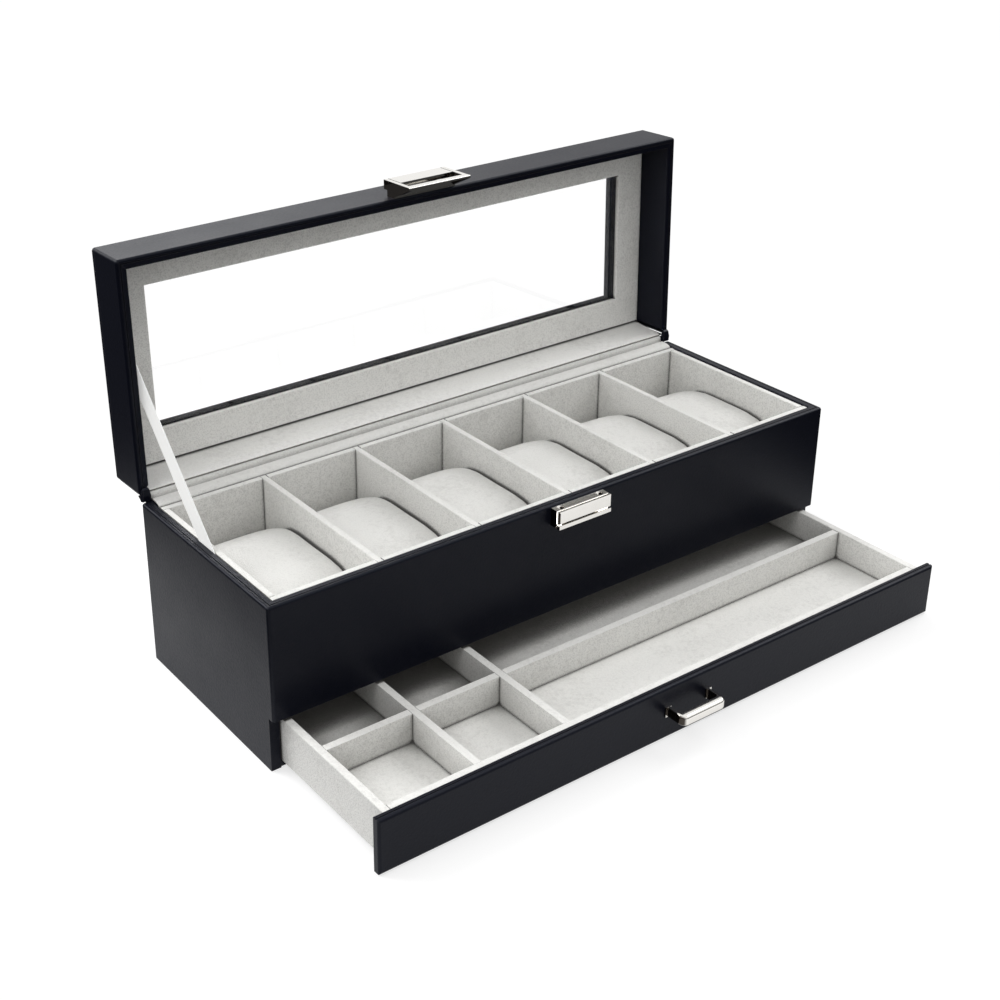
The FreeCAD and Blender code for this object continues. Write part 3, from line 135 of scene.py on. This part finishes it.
# Cushion covers
CUSHIONS = 6
COVER_VOXEL = 2.6 * MM
FILL_PRESSURE = 3.0
FILL_FRAMES = 14
FILL_STIFFNESS = 40.0
SWELL_LIMIT = 1.4 * MM
DIMPLE_SCALE = 28.0
DIMPLE_SEED = 7.0
DIMPLE_DEPTH = 0.35 * MM
SIDE_DROP = 0.5 * MM

# Sheets and what they lie on, sections as (y, z) in millimetres where the lid stands open
HINGE_VELVET_LENGTH = 309.6 * MM
HINGE_VELVET_THICK = 0.5 * MM
HINGE_VELVET_SECTION = (
    (47.75, 70.0), (47.75, 79.6), (48.3, 80.9), (50.2, 81.6), (54.2, 81.75), (55.0, 81.25), (55.5, 82.1),
    (55.7, 83.3), (56.0, 84.0), (57.2, 84.25), (58.0, 84.3))
LID_VELVET_LENGTH = 309.8 * MM
LID_VELVET_THICK = 0.9 * MM
LID_VELVET_SECTION = ((56.8, 84.85), (57.4, 85.15), (60.0, 85.35), (66.0, 85.7), (72.0, 86.15), (77.0, 86.6))
HINGE_FOLD_LENGTH = 315.0 * MM
HINGE_FOLD_THICK = 0.4 * MM
HINGE_FOLD_SECTION = ((55.3, 72.0), (55.35, 80.3), (55.7, 81.6), (57.0, 82.5), (60.0, 82.95), (66.0, 82.9))
RIBBON_WIDTH = 10.0 * MM
RIBBON_LENGTH = 101.5 * MM
RIBBON_THICK = 0.28 * MM
RIBBON_STEPS = 48
RIBBON_LEAN_COSINE = 0.69
RIBBON_LEAN_SINE = 0.72

# Outlines in millimetres as (y, z, how far the end face draws in), and where their ends lie along X
LID_BOARD_OUTLINE = ((58.1, 84.6, 3.1), (58.1, 83.66, 0.0), (77.2, 83.09, 0.0), (77.2, 85.85, 2.6))
LID_BOARD_END = 159.56
LID_BOARD_BEVEL = 0.25 * MM
LOBE_OUTLINE = (
    (53.9, 81.5, 0.5), (53.7, 84.2, 0.4), (54.1, 87.2, 0.9), (55.0, 87.8, 1.1), (55.5, 86.4, 0.4),
    (55.6, 84.4, 0.1), (57.8, 83.5, 0.1), (57.8, 82.9, 0.1), (56.4, 82.3, 0.1), (55.4, 81.2, 0.1))
LOBE_ENDS = (155.05, 159.9)

# The window's opening lies a little to the left in the photograph, with a leather roll on its sill
WINDOW_EDGE = 138.0 * MM
WINDOW_SHIFT = 2.6 * MM
SILL_MIDDLE = (79.75, 104.85)
SILL_RADII = (0.75, 1.05)
SILL_ENDS = (-138.8, 133.6)


def scaled(colour, by):
    return tuple(by * c for c in colour)


class Graph:
    """A short way to write a node tree: wherever a value goes, it is a number, a colour or a socket."""

    def __init__(self, tree):
        self.tree = tree
        tree.nodes.clear()

    def feed(self, socket, given):
        if isinstance(given, bpy.types.NodeSocket):
            self.tree.links.new(given, socket)
        elif socket.type == "RGBA":
            socket.default_value = (*given, 1.0)
        else:
            socket.default_value = given

    def node(self, kind, settings=(), **inputs):
        made = self.tree.nodes.new(f"ShaderNode{kind}")
        for key, setting in dict(settings).items():
            setattr(made, key, setting)
        for key, given in inputs.items():
            self.feed(made.inputs[key.replace("_", " ")], given)
        return made

    def joined(self, kind, settings, *given):
        """A node whose inputs are filled in their order."""
        made = self.node(kind, settings)
        for socket, value in zip(made.inputs, given):
            self.feed(socket, value)
        return made

    def math(self, operation, *given):
        return self.joined("Math", {"operation": operation}, *given).outputs[0]

    def vectors(self, operation, *given):
        made = self.joined("VectorMath", {"operation": operation}, *given)
        return made.outputs["Value" if operation in ("DOT_PRODUCT", "LENGTH") else "Vector"]

    def axis(self, vector, name):
        return self.node("SeparateXYZ", Vector=vector).outputs[name]

    def ranged(self, value, given, wanted, kind="LINEAR"):
        made = self.node(
            "MapRange", {"interpolation_type": kind}, Value=value,
            From_Min=given[0], From_Max=given[1], To_Min=wanted[0], To_Max=wanted[1])
        return made.outputs["Result"]


class Shader(Graph):
    """The node tree of a new material."""

    def __init__(self, name):
        self.material = bpy.data.materials.new(name)
        self.material.use_nodes = True
        super().__init__(self.material.node_tree)
        self.output = self.node("OutputMaterial")
        coordinates = self.node("TexCoord")
        self.place = coordinates.outputs["Object"]
        self.normal = coordinates.outputs["Normal"]

    def stretched(self, scale):
        """Object coordinates scaled by a different amount along each axis."""
        return self.node("Mapping", Vector=self.place, Scale=scale).outputs["Vector"]

    def noise(self, scale, detail=2.0, roughness=0.5, place=None):
        found = self.node(
            "TexNoise", Vector=place or self.place, Scale=scale, Detail=detail, Roughness=roughness)
        return found.outputs["Fac"]

    def pebbles(self, scale):
        found = self.node("TexVoronoi", {"feature": "SMOOTH_F1"}, Vector=self.place, Scale=scale)
        return found.outputs["Distance"]

    def ramp(self, factor, *stops):
        """stops are (position, grey)."""
        made = self.node("ValToRGB", Fac=factor)
        elements = made.color_ramp.elements
        while len(elements) < len(stops):
            elements.new(0.5)
        for element, (position, grey) in zip(elements, stops):
            element.position = position
            element.color = (grey, grey, grey, 1.0)
        return made.outputs["Color"]

    def mix(self, factor, first, second):
        made = self.node("Mix", {"data_type": "RGBA"})
        for socket, given in ((made.inputs[0], factor), (made.inputs[6], first), (made.inputs[7], second)):
            self.feed(socket, given)
        return made.outputs[2]

    def sums(self, *parts):
        """The weighted sum of (socket, weight) parts."""
        total, *others = [self.math("MULTIPLY", socket, weight) for socket, weight in parts]
        for other in others:
            total = self.math("ADD", total, other)
        return total

    def crevice(self, reach, *stops, own=False, samples=6):
        """How deep in a corner, gap or hollow a point lies, through stops of (openness, amount)."""
        found = self.node("AmbientOcclusion", {"samples": samples, "only_local": own}, Distance=reach)
        return self.ramp(found.outputs["AO"], *stops)

    def bump(self, height, depth, strength=1.0):
        return self.node("Bump", Height=height, Distance=depth, Strength=strength).outputs["Normal"]

    def finish(self, surface):
        self.tree.links.new(surface.outputs[0], self.output.inputs["Surface"])
        return self.material


def leather_material():
    s = Shader("black_leather")
    pebble = s.pebbles(1150.0)
    fine = s.noise(2600.0, 3.0)
    hide = s.noise(45.0, 2.0)
    # Edges and rims are painted lighter: partly wear, partly a painted highlight along the creases
    edge = s.node("Bevel", Radius=0.9 * MM).outputs["Normal"]
    turned = s.vectors("DOT_PRODUCT", edge, s.node("NewGeometry").outputs["Normal"])
    colour = s.mix(s.ramp(turned, (0.80, 0.75), (0.985, 0.0)), LEATHER, LEATHER_WORN_AND_HIGHLIT)
    roughness = s.ramp(s.sums((hide, 0.6), (pebble, 0.5)), (0.2, 0.30), (0.9, 0.42))
    height = s.sums((pebble, 0.7), (fine, 0.3), (hide, 0.4))
    return s.finish(s.node(
        "BsdfPrincipled", Base_Color=colour, Roughness=roughness, Normal=s.bump(height, 0.10 * MM, 0.55),
        Specular_IOR_Level=0.15, Specular_Tint=LEATHER_GLEAM))


def velvet_material(name, light, deep, corner_shade, pile=1.0, hollow=()):
    """pile: how deep the bumps are; hollow: the stops of the painted shade that darkens it in a large hollow.
    """
    s = Shader(name)
    brushed = s.noise(38.0, 3.0, 0.6)
    clumps = s.noise(420.0, 4.0, 0.65)
    pits = s.noise(1500.0, 2.0, 0.6)
    fibres = s.noise(2600.0, 2.0)
    tone = s.ramp(s.sums((brushed, 0.35), (clumps, 0.45), (fibres, 0.20)), (0.36, 0.0), (0.50, 1.0))
    colour = s.mix(0.5, light, s.mix(tone, deep, light))
    level = s.math("ABSOLUTE", s.axis(s.normal, "Z"))
    # Pits are darker on upright faces than on flat ones: partly the pile's pits, partly painted shade where
    # light grazes
    pits_and_upright_shade = s.math("MULTIPLY", s.ramp(pits, (0.38, 1.0), (0.52, 0.0)), s.ramp(level, (0.0, 0.30), (0.9, 0.10)))
    colour = s.mix(pits_and_upright_shade, colour, scaled(deep, 0.55))
    # Painted shade: darker within a short reach of any corner or gap
    colour = s.mix(s.crevice(CORNER_SHADE_REACH, (0.50, 0.92), (0.62, 0.38), (0.84, 0.0)), colour, corner_shade)
    # Painted shade where a large hollow keeps out the sky, weaker on upright faces
    if hollow:
        hollow_shade_amount = s.crevice(HOLLOW_SHADE_REACH, *hollow, samples=16)
        colour = s.mix(s.math("MULTIPLY", hollow_shade_amount, s.ramp(level, (0.3, 0.35), (0.8, 1.0))), colour, corner_shade)
    height = s.sums((clumps, 0.35), (pits, 0.45), (fibres, 0.2))
    return s.finish(s.node(
        "BsdfPrincipled", Base_Color=colour, Roughness=0.95, Normal=s.bump(height, 0.60 * pile * MM, 0.8),
        Specular_IOR_Level=0.12, Sheen_Weight=0.15, Sheen_Roughness=0.55))


def chrome_material(name, reach, lift=0.0):
    """reach: how far the painted shade of a hollow reaches; lift: how far a crowned front face turns to the
    sky.
    """
    s = Shader(name)
    haze = s.noise(240.0, 3.0)
    colour = s.mix(haze, CHROME, scaled(CHROME, 0.97))
    # Painted shade in the metal's own hollows and crevices
    colour = s.mix(s.crevice(reach, (0.36, 1.0), (0.74, 0.0), own=True), colour, CHROME_SHADE)
    # Faces that turn along X are painted dark: a painted dark reflection on the ends
    aside = s.math("ABSOLUTE", s.axis(s.normal, "X"))
    colour = s.mix(s.ramp(aside, (0.35, 0.0), (0.65, 0.96)), colour, CHROME_SHADE)
    body = s.node(
        "BsdfPrincipled", Base_Color=colour, Roughness=s.ramp(haze, (0.35, 0.045), (0.75, 0.09)), Metallic=1.0)
    if lift:
        facing = s.node("NewGeometry").outputs["Normal"]
        ahead = s.math("ABSOLUTE", s.axis(facing, "Y"))
        up = s.node("CombineXYZ", Z=s.ramp(ahead, (0.85, 0.0), (0.97, lift))).outputs[0]
        s.feed(body.inputs["Normal"], s.vectors("NORMALIZE", s.vectors("ADD", facing, up)))
    return s.finish(body)


def steel_material():
    s = Shader("plain_steel")
    grain = s.noise(900.0, 3.0)
    return s.finish(s.node(
        "BsdfPrincipled", Base_Color=s.mix(grain, STEEL, scaled(STEEL, 0.8)),
        Roughness=s.ramp(grain, (0.3, 0.28), (0.8, 0.42)), Metallic=1.0))


def glass_material():
    s = Shader("clear_glass")
    return s.finish(s.node(
        "BsdfPrincipled", Base_Color=WHITE, Roughness=s.ramp(s.noise(30.0, 2.0), (0.3, 0.0), (0.9, 0.01)),
        Transmission_Weight=1.0, IOR=1.46, Specular_IOR_Level=0.05))


def ribbon_material():
    s = Shader("white_satin")
    weft = s.node("TexWave", {"wave_type": "BANDS", "bands_direction": "Z"}, Vector=s.place, Scale=900.0)
    warp = s.noise(1.0, 2.0, place=s.stretched((4000.0, 260.0, 260.0)))
    height = s.sums((weft.outputs["Fac"], 0.5), (warp, 0.5))
    # The satin glows a little in its own colour: painted light that makes it read brighter
    return s.finish(s.node(
        "BsdfPrincipled", Base_Color=s.mix(warp, RIBBON, scaled(RIBBON, 0.95)), Roughness=0.42,
        Normal=s.bump(height, 0.03 * MM, 0.5), Emission_Color=RIBBON, Emission_Strength=0.24,
        Sheen_Weight=0.35, Sheen_Roughness=0.4))


leather = leather_material()
velvet = velvet_material("grey_velvet", VELVET, VELVET_DEEP, VELVET_CORNER_SHADE)
# Lighter copies of the velvet: painted light in the lid and the drawer, and painted shade in the drawer's
# hollows
drawer_velvet = velvet_material(
    "grey_velvet_in_drawer", scaled(VELVET, DRAWER_VELVET_PAINTED_LIGHT), scaled(VELVET_DEEP, DRAWER_VELVET_PAINTED_LIGHT),
    VELVET_CORNER_SHADE, hollow=DRAWER_HOLLOW_SHADE)
lid_velvet = velvet_material(
    "grey_velvet_in_lid", scaled(VELVET, LID_VELVET_PAINTED_LIGHT), scaled(VELVET_DEEP, LID_VELVET_PAINTED_LIGHT), VELVET_CORNER_SHADE)
satin = ribbon_material()
crowned_chrome = chrome_material("chrome_crowned", HARDWARE_SHADE_REACH, lift=CLASP_LIFT)
FINISHES = {
    "black_leather": leather,
    "velvet": velvet,
    "chrome": chrome_material("chrome", HARDWARE_SHADE_REACH),
    "steel": steel_material(),
    "glass": glass_material(),
    "ribbon": satin,
    "felt": velvet_material("black_felt", FELT, scaled(FELT, 0.6), scaled(FELT, 0.2), 0.8),
}
OWN_FINISHES = {
    "clasp_hasp": chrome_material("chrome_hollow", HASP_SHADE_REACH),
    "clasp_housing": crowned_chrome,
    "clasp_push_plate": crowned_chrome,
    "lid_velvet_frame": lid_velvet,
}


def set_material(piece, material):
    piece.data.materials.clear()
    piece.data.materials.append(material)


def smooth(mesh):
    mesh.polygons.foreach_set("use_smooth", [True] * len(mesh.polygons))


def finish_solids():
    for part in frame["record"]["subparts"]:
        node = nodes[part["node"]]
        finish = FINISHES[part["material_slot"]]
        if part["node"].startswith("drawer_") and finish is velvet:
            finish = drawer_velvet
        set_material(node, OWN_FINISHES.get(part["node"], finish))
        if "custom_normal" in node.data.attributes:
            node.data.attributes.remove(node.data.attributes["custom_normal"])
        smooth(node.data)
        node.data.set_sharp_from_angle(angle=SHARP_ANGLE)


def new_piece(name, mesh, body, material):
    piece = bpy.data.objects.new(name, mesh)
    bpy.context.scene.collection.objects.link(piece)
    set_material(piece, material)
    if body:
        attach(piece, body)
    return piece


def mesh_of(bm, name):
    bmesh.ops.recalc_face_normals(bm, faces=bm.faces)
    mesh = bpy.data.meshes.new(name)
    bm.to_mesh(mesh)
    bm.free()
    return mesh


def strip_mesh(name, path, along, width, thick, normals):
    """A cloth strip: a path in the YZ plane, as wide as width in the direction along."""
    bm = bmesh.new()
    rows = []
    for point, normal in zip(path, normals):
        rows.append([
            [bm.verts.new(point + normal * thick / 2 * side + along * end * width / 2) for end in (-1, 1)]
            for side in (1, -1)])
    for a, b in zip(rows, rows[1:]):
        bm.faces.new((a[0][0], a[0][1], b[0][1], b[0][0]))
        bm.faces.new((a[1][1], a[1][0], b[1][0], b[1][1]))
        bm.faces.new((a[0][0], b[0][0], b[1][0], a[1][0]))
        bm.faces.new((a[0][1], a[1][1], b[1][1], b[0][1]))
    for row, order in ((rows[0], 1), (rows[-1], -1)):
        corners = [row[0][0], row[1][0], row[1][1], row[0][1]]
        bm.faces.new(corners[::order])
    return mesh_of(bm, name)


def add_block(bm, outline, x_low, x_high):
    """Adds a closed block: an outline of (y, z, inset) in millimetres, run from one X place to another."""
    ends = []
    for x, way in ((x_low, 1.0), (x_high, -1.0)):
        ends.append([bm.verts.new(((x + way * inset) * MM, y * MM, z * MM)) for y, z, inset in outline])
    count = len(outline)
    for at in range(count):
        after = (at + 1) % count
        bm.faces.new((ends[0][at], ends[0][after], ends[1][after], ends[1][at]))
    bm.faces.new(ends[0][::-1])
    bm.faces.new(ends[1])


def evaluated_mesh(piece):
    return bpy.data.meshes.new_from_object(piece.evaluated_get(bpy.context.evaluated_depsgraph_get()))


def places(mesh):
    return np.array([v.co for v in mesh.vertices])


def swelled(piece):
    """Fills a closed cover with air for a moment, so that it rounds as stuffed cloth does."""
    scene = bpy.context.scene
    cloth = piece.modifiers.new("Fill", "CLOTH")
    cloth.settings.use_pressure = True
    cloth.settings.uniform_pressure_force = FILL_PRESSURE
    cloth.settings.effector_weights.gravity = 0.0
    cloth.settings.tension_stiffness = FILL_STIFFNESS
    cloth.settings.compression_stiffness = FILL_STIFFNESS
    cloth.settings.quality = 6
    scene.frame_start, scene.frame_end = 1, FILL_FRAMES
    for step in range(1, FILL_FRAMES + 1):
        scene.frame_set(step)
    shaped = evaluated_mesh(piece)
    piece.modifiers.clear()
    scene.frame_set(1)
    return places(shaped)


def cushion_cover():
    """One cushion's cover about its own middle, swelled a little, with half its size."""
    low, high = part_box("cushion_1")
    mesh = nodes["cushion_1"].data.copy()
    mesh.transform(Matrix.Translation(-(low + high) / 2))
    piece = bpy.data.objects.new("cover", mesh)
    bpy.context.scene.collection.objects.link(piece)
    remesh = piece.modifiers.new("Even", "REMESH")
    remesh.mode = "VOXEL"
    remesh.voxel_size = COVER_VOXEL
    shaped = evaluated_mesh(piece)
    piece.modifiers.clear()
    piece.data = shaped
    rest = places(shaped)
    shift = swelled(piece) - rest
    length = np.linalg.norm(shift, axis=1, keepdims=True)
    shift *= np.minimum(1.0, SWELL_LIMIT / np.maximum(length, 1e-9))
    half = (high - low) / 2
    points = np.clip(rest + shift, -np.array(half), np.array(half))
    shaped.vertices.foreach_set("co", points.ravel())
    even = piece.modifiers.new("Soften", "SMOOTH")
    even.factor = 0.5
    even.iterations = 3
    piece.modifiers.new("Rounded", "SUBSURF").levels = 1
    final = evaluated_mesh(piece)
    bpy.data.objects.remove(piece)
    smooth(final)
    return final, half


def make_cushions():
    cover, half = cushion_cover()
    for number in range(1, CUSHIONS + 1):
        node = f"cushion_{number}"
        low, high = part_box(node)
        mesh = cover.copy()
        for vertex in mesh.vertices:
            at = vertex.co.copy()
            side = min(abs(at.x) / half.x, 1.0)
            top = max(at.z / half.z, 0.0)
            dimple = noise.noise(at * DIMPLE_SCALE + Vector((number * DIMPLE_SEED, 0.0, 0.0)))
            vertex.co.z -= top * (SIDE_DROP * side**3 + DIMPLE_DEPTH * (1.0 + dimple))
        mesh.transform(Matrix.Translation((low + high) / 2))
        piece = new_piece(f"{node}_cover", mesh, node, velvet)
        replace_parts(piece, node)


def make_window():
    """The lid's leather frame, drawn anew with the opening further left."""
    mesh = nodes["lid_window_frame"].data.copy()
    for vertex in mesh.vertices:
        if abs(vertex.co.x) < WINDOW_EDGE:
            vertex.co.x -= WINDOW_SHIFT
    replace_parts(new_piece("lid_window_leather", mesh, "lid", leather), "lid_window_frame")


def rounded(points):
    """Corner cutting, twice: a smooth run through the middle of each leg of a path."""
    for _ in range(2):
        cut = [points[0]]
        for one, two in zip(points, points[1:]):
            cut += [one.lerp(two, 0.25), one.lerp(two, 0.75)]
        points = cut + [points[-1]]
    return points


def band(name, section, length, thick, material, body=None):
    """A cloth that runs the length of the case, and how long its section is along the bend."""
    path = rounded([Vector((0.0, y * MM, z * MM)) for y, z in section])
    normals = []
    for at in range(len(path)):
        run = (path[min(at + 1, len(path) - 1)] - path[max(at - 1, 0)]).normalized()
        normals.append(Vector((0.0, -run.z, run.y)))
    mesh = strip_mesh(name, path, ALONG_CASE, length, thick, normals)
    reach = sum((b - a).length for a, b in zip(path, path[1:]))
    return new_piece(name, mesh, body, material), reach


def make_hinge_velvet():
    cloth, reach = band(
        "hinge_velvet", HINGE_VELVET_SECTION, HINGE_VELVET_LENGTH, HINGE_VELVET_THICK, velvet)
    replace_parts(cloth, "hinge_cloth")
    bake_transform(cloth)


def make_lid_back():
    """The lid's back wall, thinner than in the solids, and the velvet on it."""
    lining, reach = band(
        "lid_back_velvet", LID_VELVET_SECTION, LID_VELVET_LENGTH, LID_VELVET_THICK, lid_velvet, "lid")
    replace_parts(lining, "lid_back_lining")

    bm = bmesh.new()
    add_block(bm, LID_BOARD_OUTLINE, -LID_BOARD_END, LID_BOARD_END)
    bmesh.ops.recalc_face_normals(bm, faces=bm.faces)
    bmesh.ops.bevel(bm, geom=bm.edges[:], offset=LID_BOARD_BEVEL, segments=2, affect="EDGES")
    board = new_piece("lid_back_board", mesh_of(bm, "lid_back_board"), "lid", leather)
    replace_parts(board, "lid_back_wall")


def make_sill_piping():
    bm = bmesh.new()
    add_block(bm, [
        (SILL_MIDDLE[0] + SILL_RADII[0] * math.cos(turn), SILL_MIDDLE[1] + SILL_RADII[1] * math.sin(turn), 0.0)
        for turn in np.arange(0.0, 6.28, math.pi / 6)], *SILL_ENDS)
    mesh = mesh_of(bm, "window_sill_piping")
    smooth(mesh)
    new_piece("window_sill_piping", mesh, "lid", leather)


def make_hinge_fold():
    """The leather behind the hinge, with the small lobe that its fold makes at each end."""
    fold, reach = band(
        "hinge_fold", HINGE_FOLD_SECTION, HINGE_FOLD_LENGTH, HINGE_FOLD_THICK, leather)
    bm = bmesh.new()
    bm.from_mesh(fold.data)
    inner, outer = LOBE_ENDS
    for low, high in ((-outer, -inner), (inner, outer)):
        add_block(bm, LOBE_OUTLINE, low, high)
    bmesh.ops.recalc_face_normals(bm, faces=bm.faces)
    bm.to_mesh(fold.data)
    bm.free()
    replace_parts(fold, "hinge_leather")
    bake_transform(fold)


def make_ribbon():
    low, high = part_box("ribbon_stay")
    lean = math.atan2(
        high.z - low.z - RIBBON_WIDTH * RIBBON_LEAN_COSINE, high.y - low.y - RIBBON_WIDTH * RIBBON_LEAN_SINE)
    middle = (low + high) / 2
    along = Vector((0.0, math.cos(lean), math.sin(lean)))
    across = Vector((0.0, -math.sin(lean), math.cos(lean)))
    path = [middle + along * RIBBON_LENGTH * (step / RIBBON_STEPS - 0.5) for step in range(RIBBON_STEPS + 1)]
    mesh = strip_mesh("ribbon_stay_satin", path, across, RIBBON_WIDTH, RIBBON_THICK, [ALONG_CASE] * len(path))
    piece = new_piece("ribbon_stay_satin", mesh, None, satin)
    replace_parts(piece, "ribbon_stay")
    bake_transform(piece)


def direct(s, rays):
    """Whether a ray comes from the camera, straight or through the glass."""
    return s.math("MAXIMUM", rays["Is Camera Ray"], rays["Is Transmission Ray"])


def stage():
    bpy.ops.mesh.primitive_plane_add(size=FLOOR_SIZE, location=(0.0, 0.0, -FLOOR_DROP))
    floor = bpy.context.object
    floor.name = "floor"
    s = Shader("floor")
    rays = s.node("LightPath").outputs
    centred = s.vectors("ABSOLUTE", s.vectors("ADD", s.place, FOOTPRINT_OFFSET))
    outside = s.vectors("MAXIMUM", s.vectors("SUBTRACT", centred, FOOTPRINT_HALF), (0.0, 0.0, 0.0))
    distance = s.vectors("LENGTH", s.vectors("MULTIPLY", outside, FOOTPRINT_STRETCH))

    def faded(near, far):
        return s.ranged(distance, FLOOR_RANGE, (near, far), "SMOOTHSTEP")

    seen = s.math("MULTIPLY", direct(s, rays), faded(FLOOR_GLOW, 1.0))
    mirrored = s.math("MULTIPLY", rays["Is Glossy Ray"], faded(FLOOR_MIRRORED, FLOOR_FAR))
    glow = s.node("Emission", Color=WHITE, Strength=s.math("ADD", seen, mirrored))
    level = faded(FLOOR_GREY, FLOOR_FAR)
    grey = s.node("CombineColor", Red=level, Green=level, Blue=level)
    matt = s.node("BsdfDiffuse", Color=grey.outputs[0])
    set_material(floor, s.finish(s.joined("AddShader", (), glow.outputs[0], matt.outputs[0])))


def sky():
    world = bpy.data.worlds.new("studio")
    bpy.context.scene.world = world
    world.use_nodes = True
    s = Graph(world.node_tree)
    rays = s.node("LightPath").outputs
    straight = direct(s, rays)
    aim = s.node("TexCoord").outputs["Generated"]
    height = s.math("MULTIPLY_ADD", s.axis(aim, "Y"), HORIZON_TILT, s.axis(aim, "Z"))
    rise = s.ranged(height, HORIZON_RANGE, (HORIZON_GLOW, 1.0))
    light = s.node("Background", Color=WHITE, Strength=SKY_LEVEL)
    view = s.node("Background", Color=WHITE, Strength=s.math("MAXIMUM", straight, rise))
    looked_at = s.math("MAXIMUM", straight, rays["Is Glossy Ray"])
    mixed = s.joined("MixShader", (), looked_at, light.outputs[0], view.outputs[0])
    s.tree.links.new(mixed.outputs[0], s.node("OutputWorld").inputs[0])


def lamp(name, place, power):
    light = bpy.data.lights.new(name, "AREA")
    light.energy = power
    light.shape = "DISK"
    light.size = LAMP_SIZE
    holder = bpy.data.objects.new(name, light)
    bpy.context.scene.collection.objects.link(holder)
    holder.location = place
    holder.rotation_euler = (LAMP_AIM - Vector(place)).to_track_quat("-Z", "Y").to_euler()


def camera():
    back = Vector((
        math.sin(CAMERA_AZIMUTH) * math.cos(CAMERA_ELEVATION),
        -math.cos(CAMERA_AZIMUTH) * math.cos(CAMERA_ELEVATION),
        math.sin(CAMERA_ELEVATION),
    ))
    right = Vector((0.0, 0.0, 1.0)).cross(back).normalized()
    up = back.cross(right)
    cosine, sine = math.cos(CAMERA_ROLL), math.sin(CAMERA_ROLL)
    turned = Matrix((cosine * right + sine * up, cosine * up - sine * right, back)).transposed()
    data = bpy.data.cameras.new("camera")
    data.sensor_width = CAMERA_SENSOR
    data.lens = CAMERA_LENS
    data.shift_x, data.shift_y = CAMERA_SHIFT
    data.clip_start = CAMERA_NEAR
    holder = bpy.data.objects.new("camera", data)
    bpy.context.scene.collection.objects.link(holder)
    holder.matrix_world = Matrix.Translation(CAMERA_PLACE) @ turned.to_4x4()
    bpy.context.scene.camera = holder


finish_solids()
make_cushions()
make_window()
make_hinge_velvet()
make_lid_back()
make_sill_piping()
make_hinge_fold()
make_ribbon()
stage()
sky()
for name, (place, power) in LAMPS.items():
    lamp(name, place, power)
camera()
bpy.context.scene.view_settings.view_transform = "Standard"
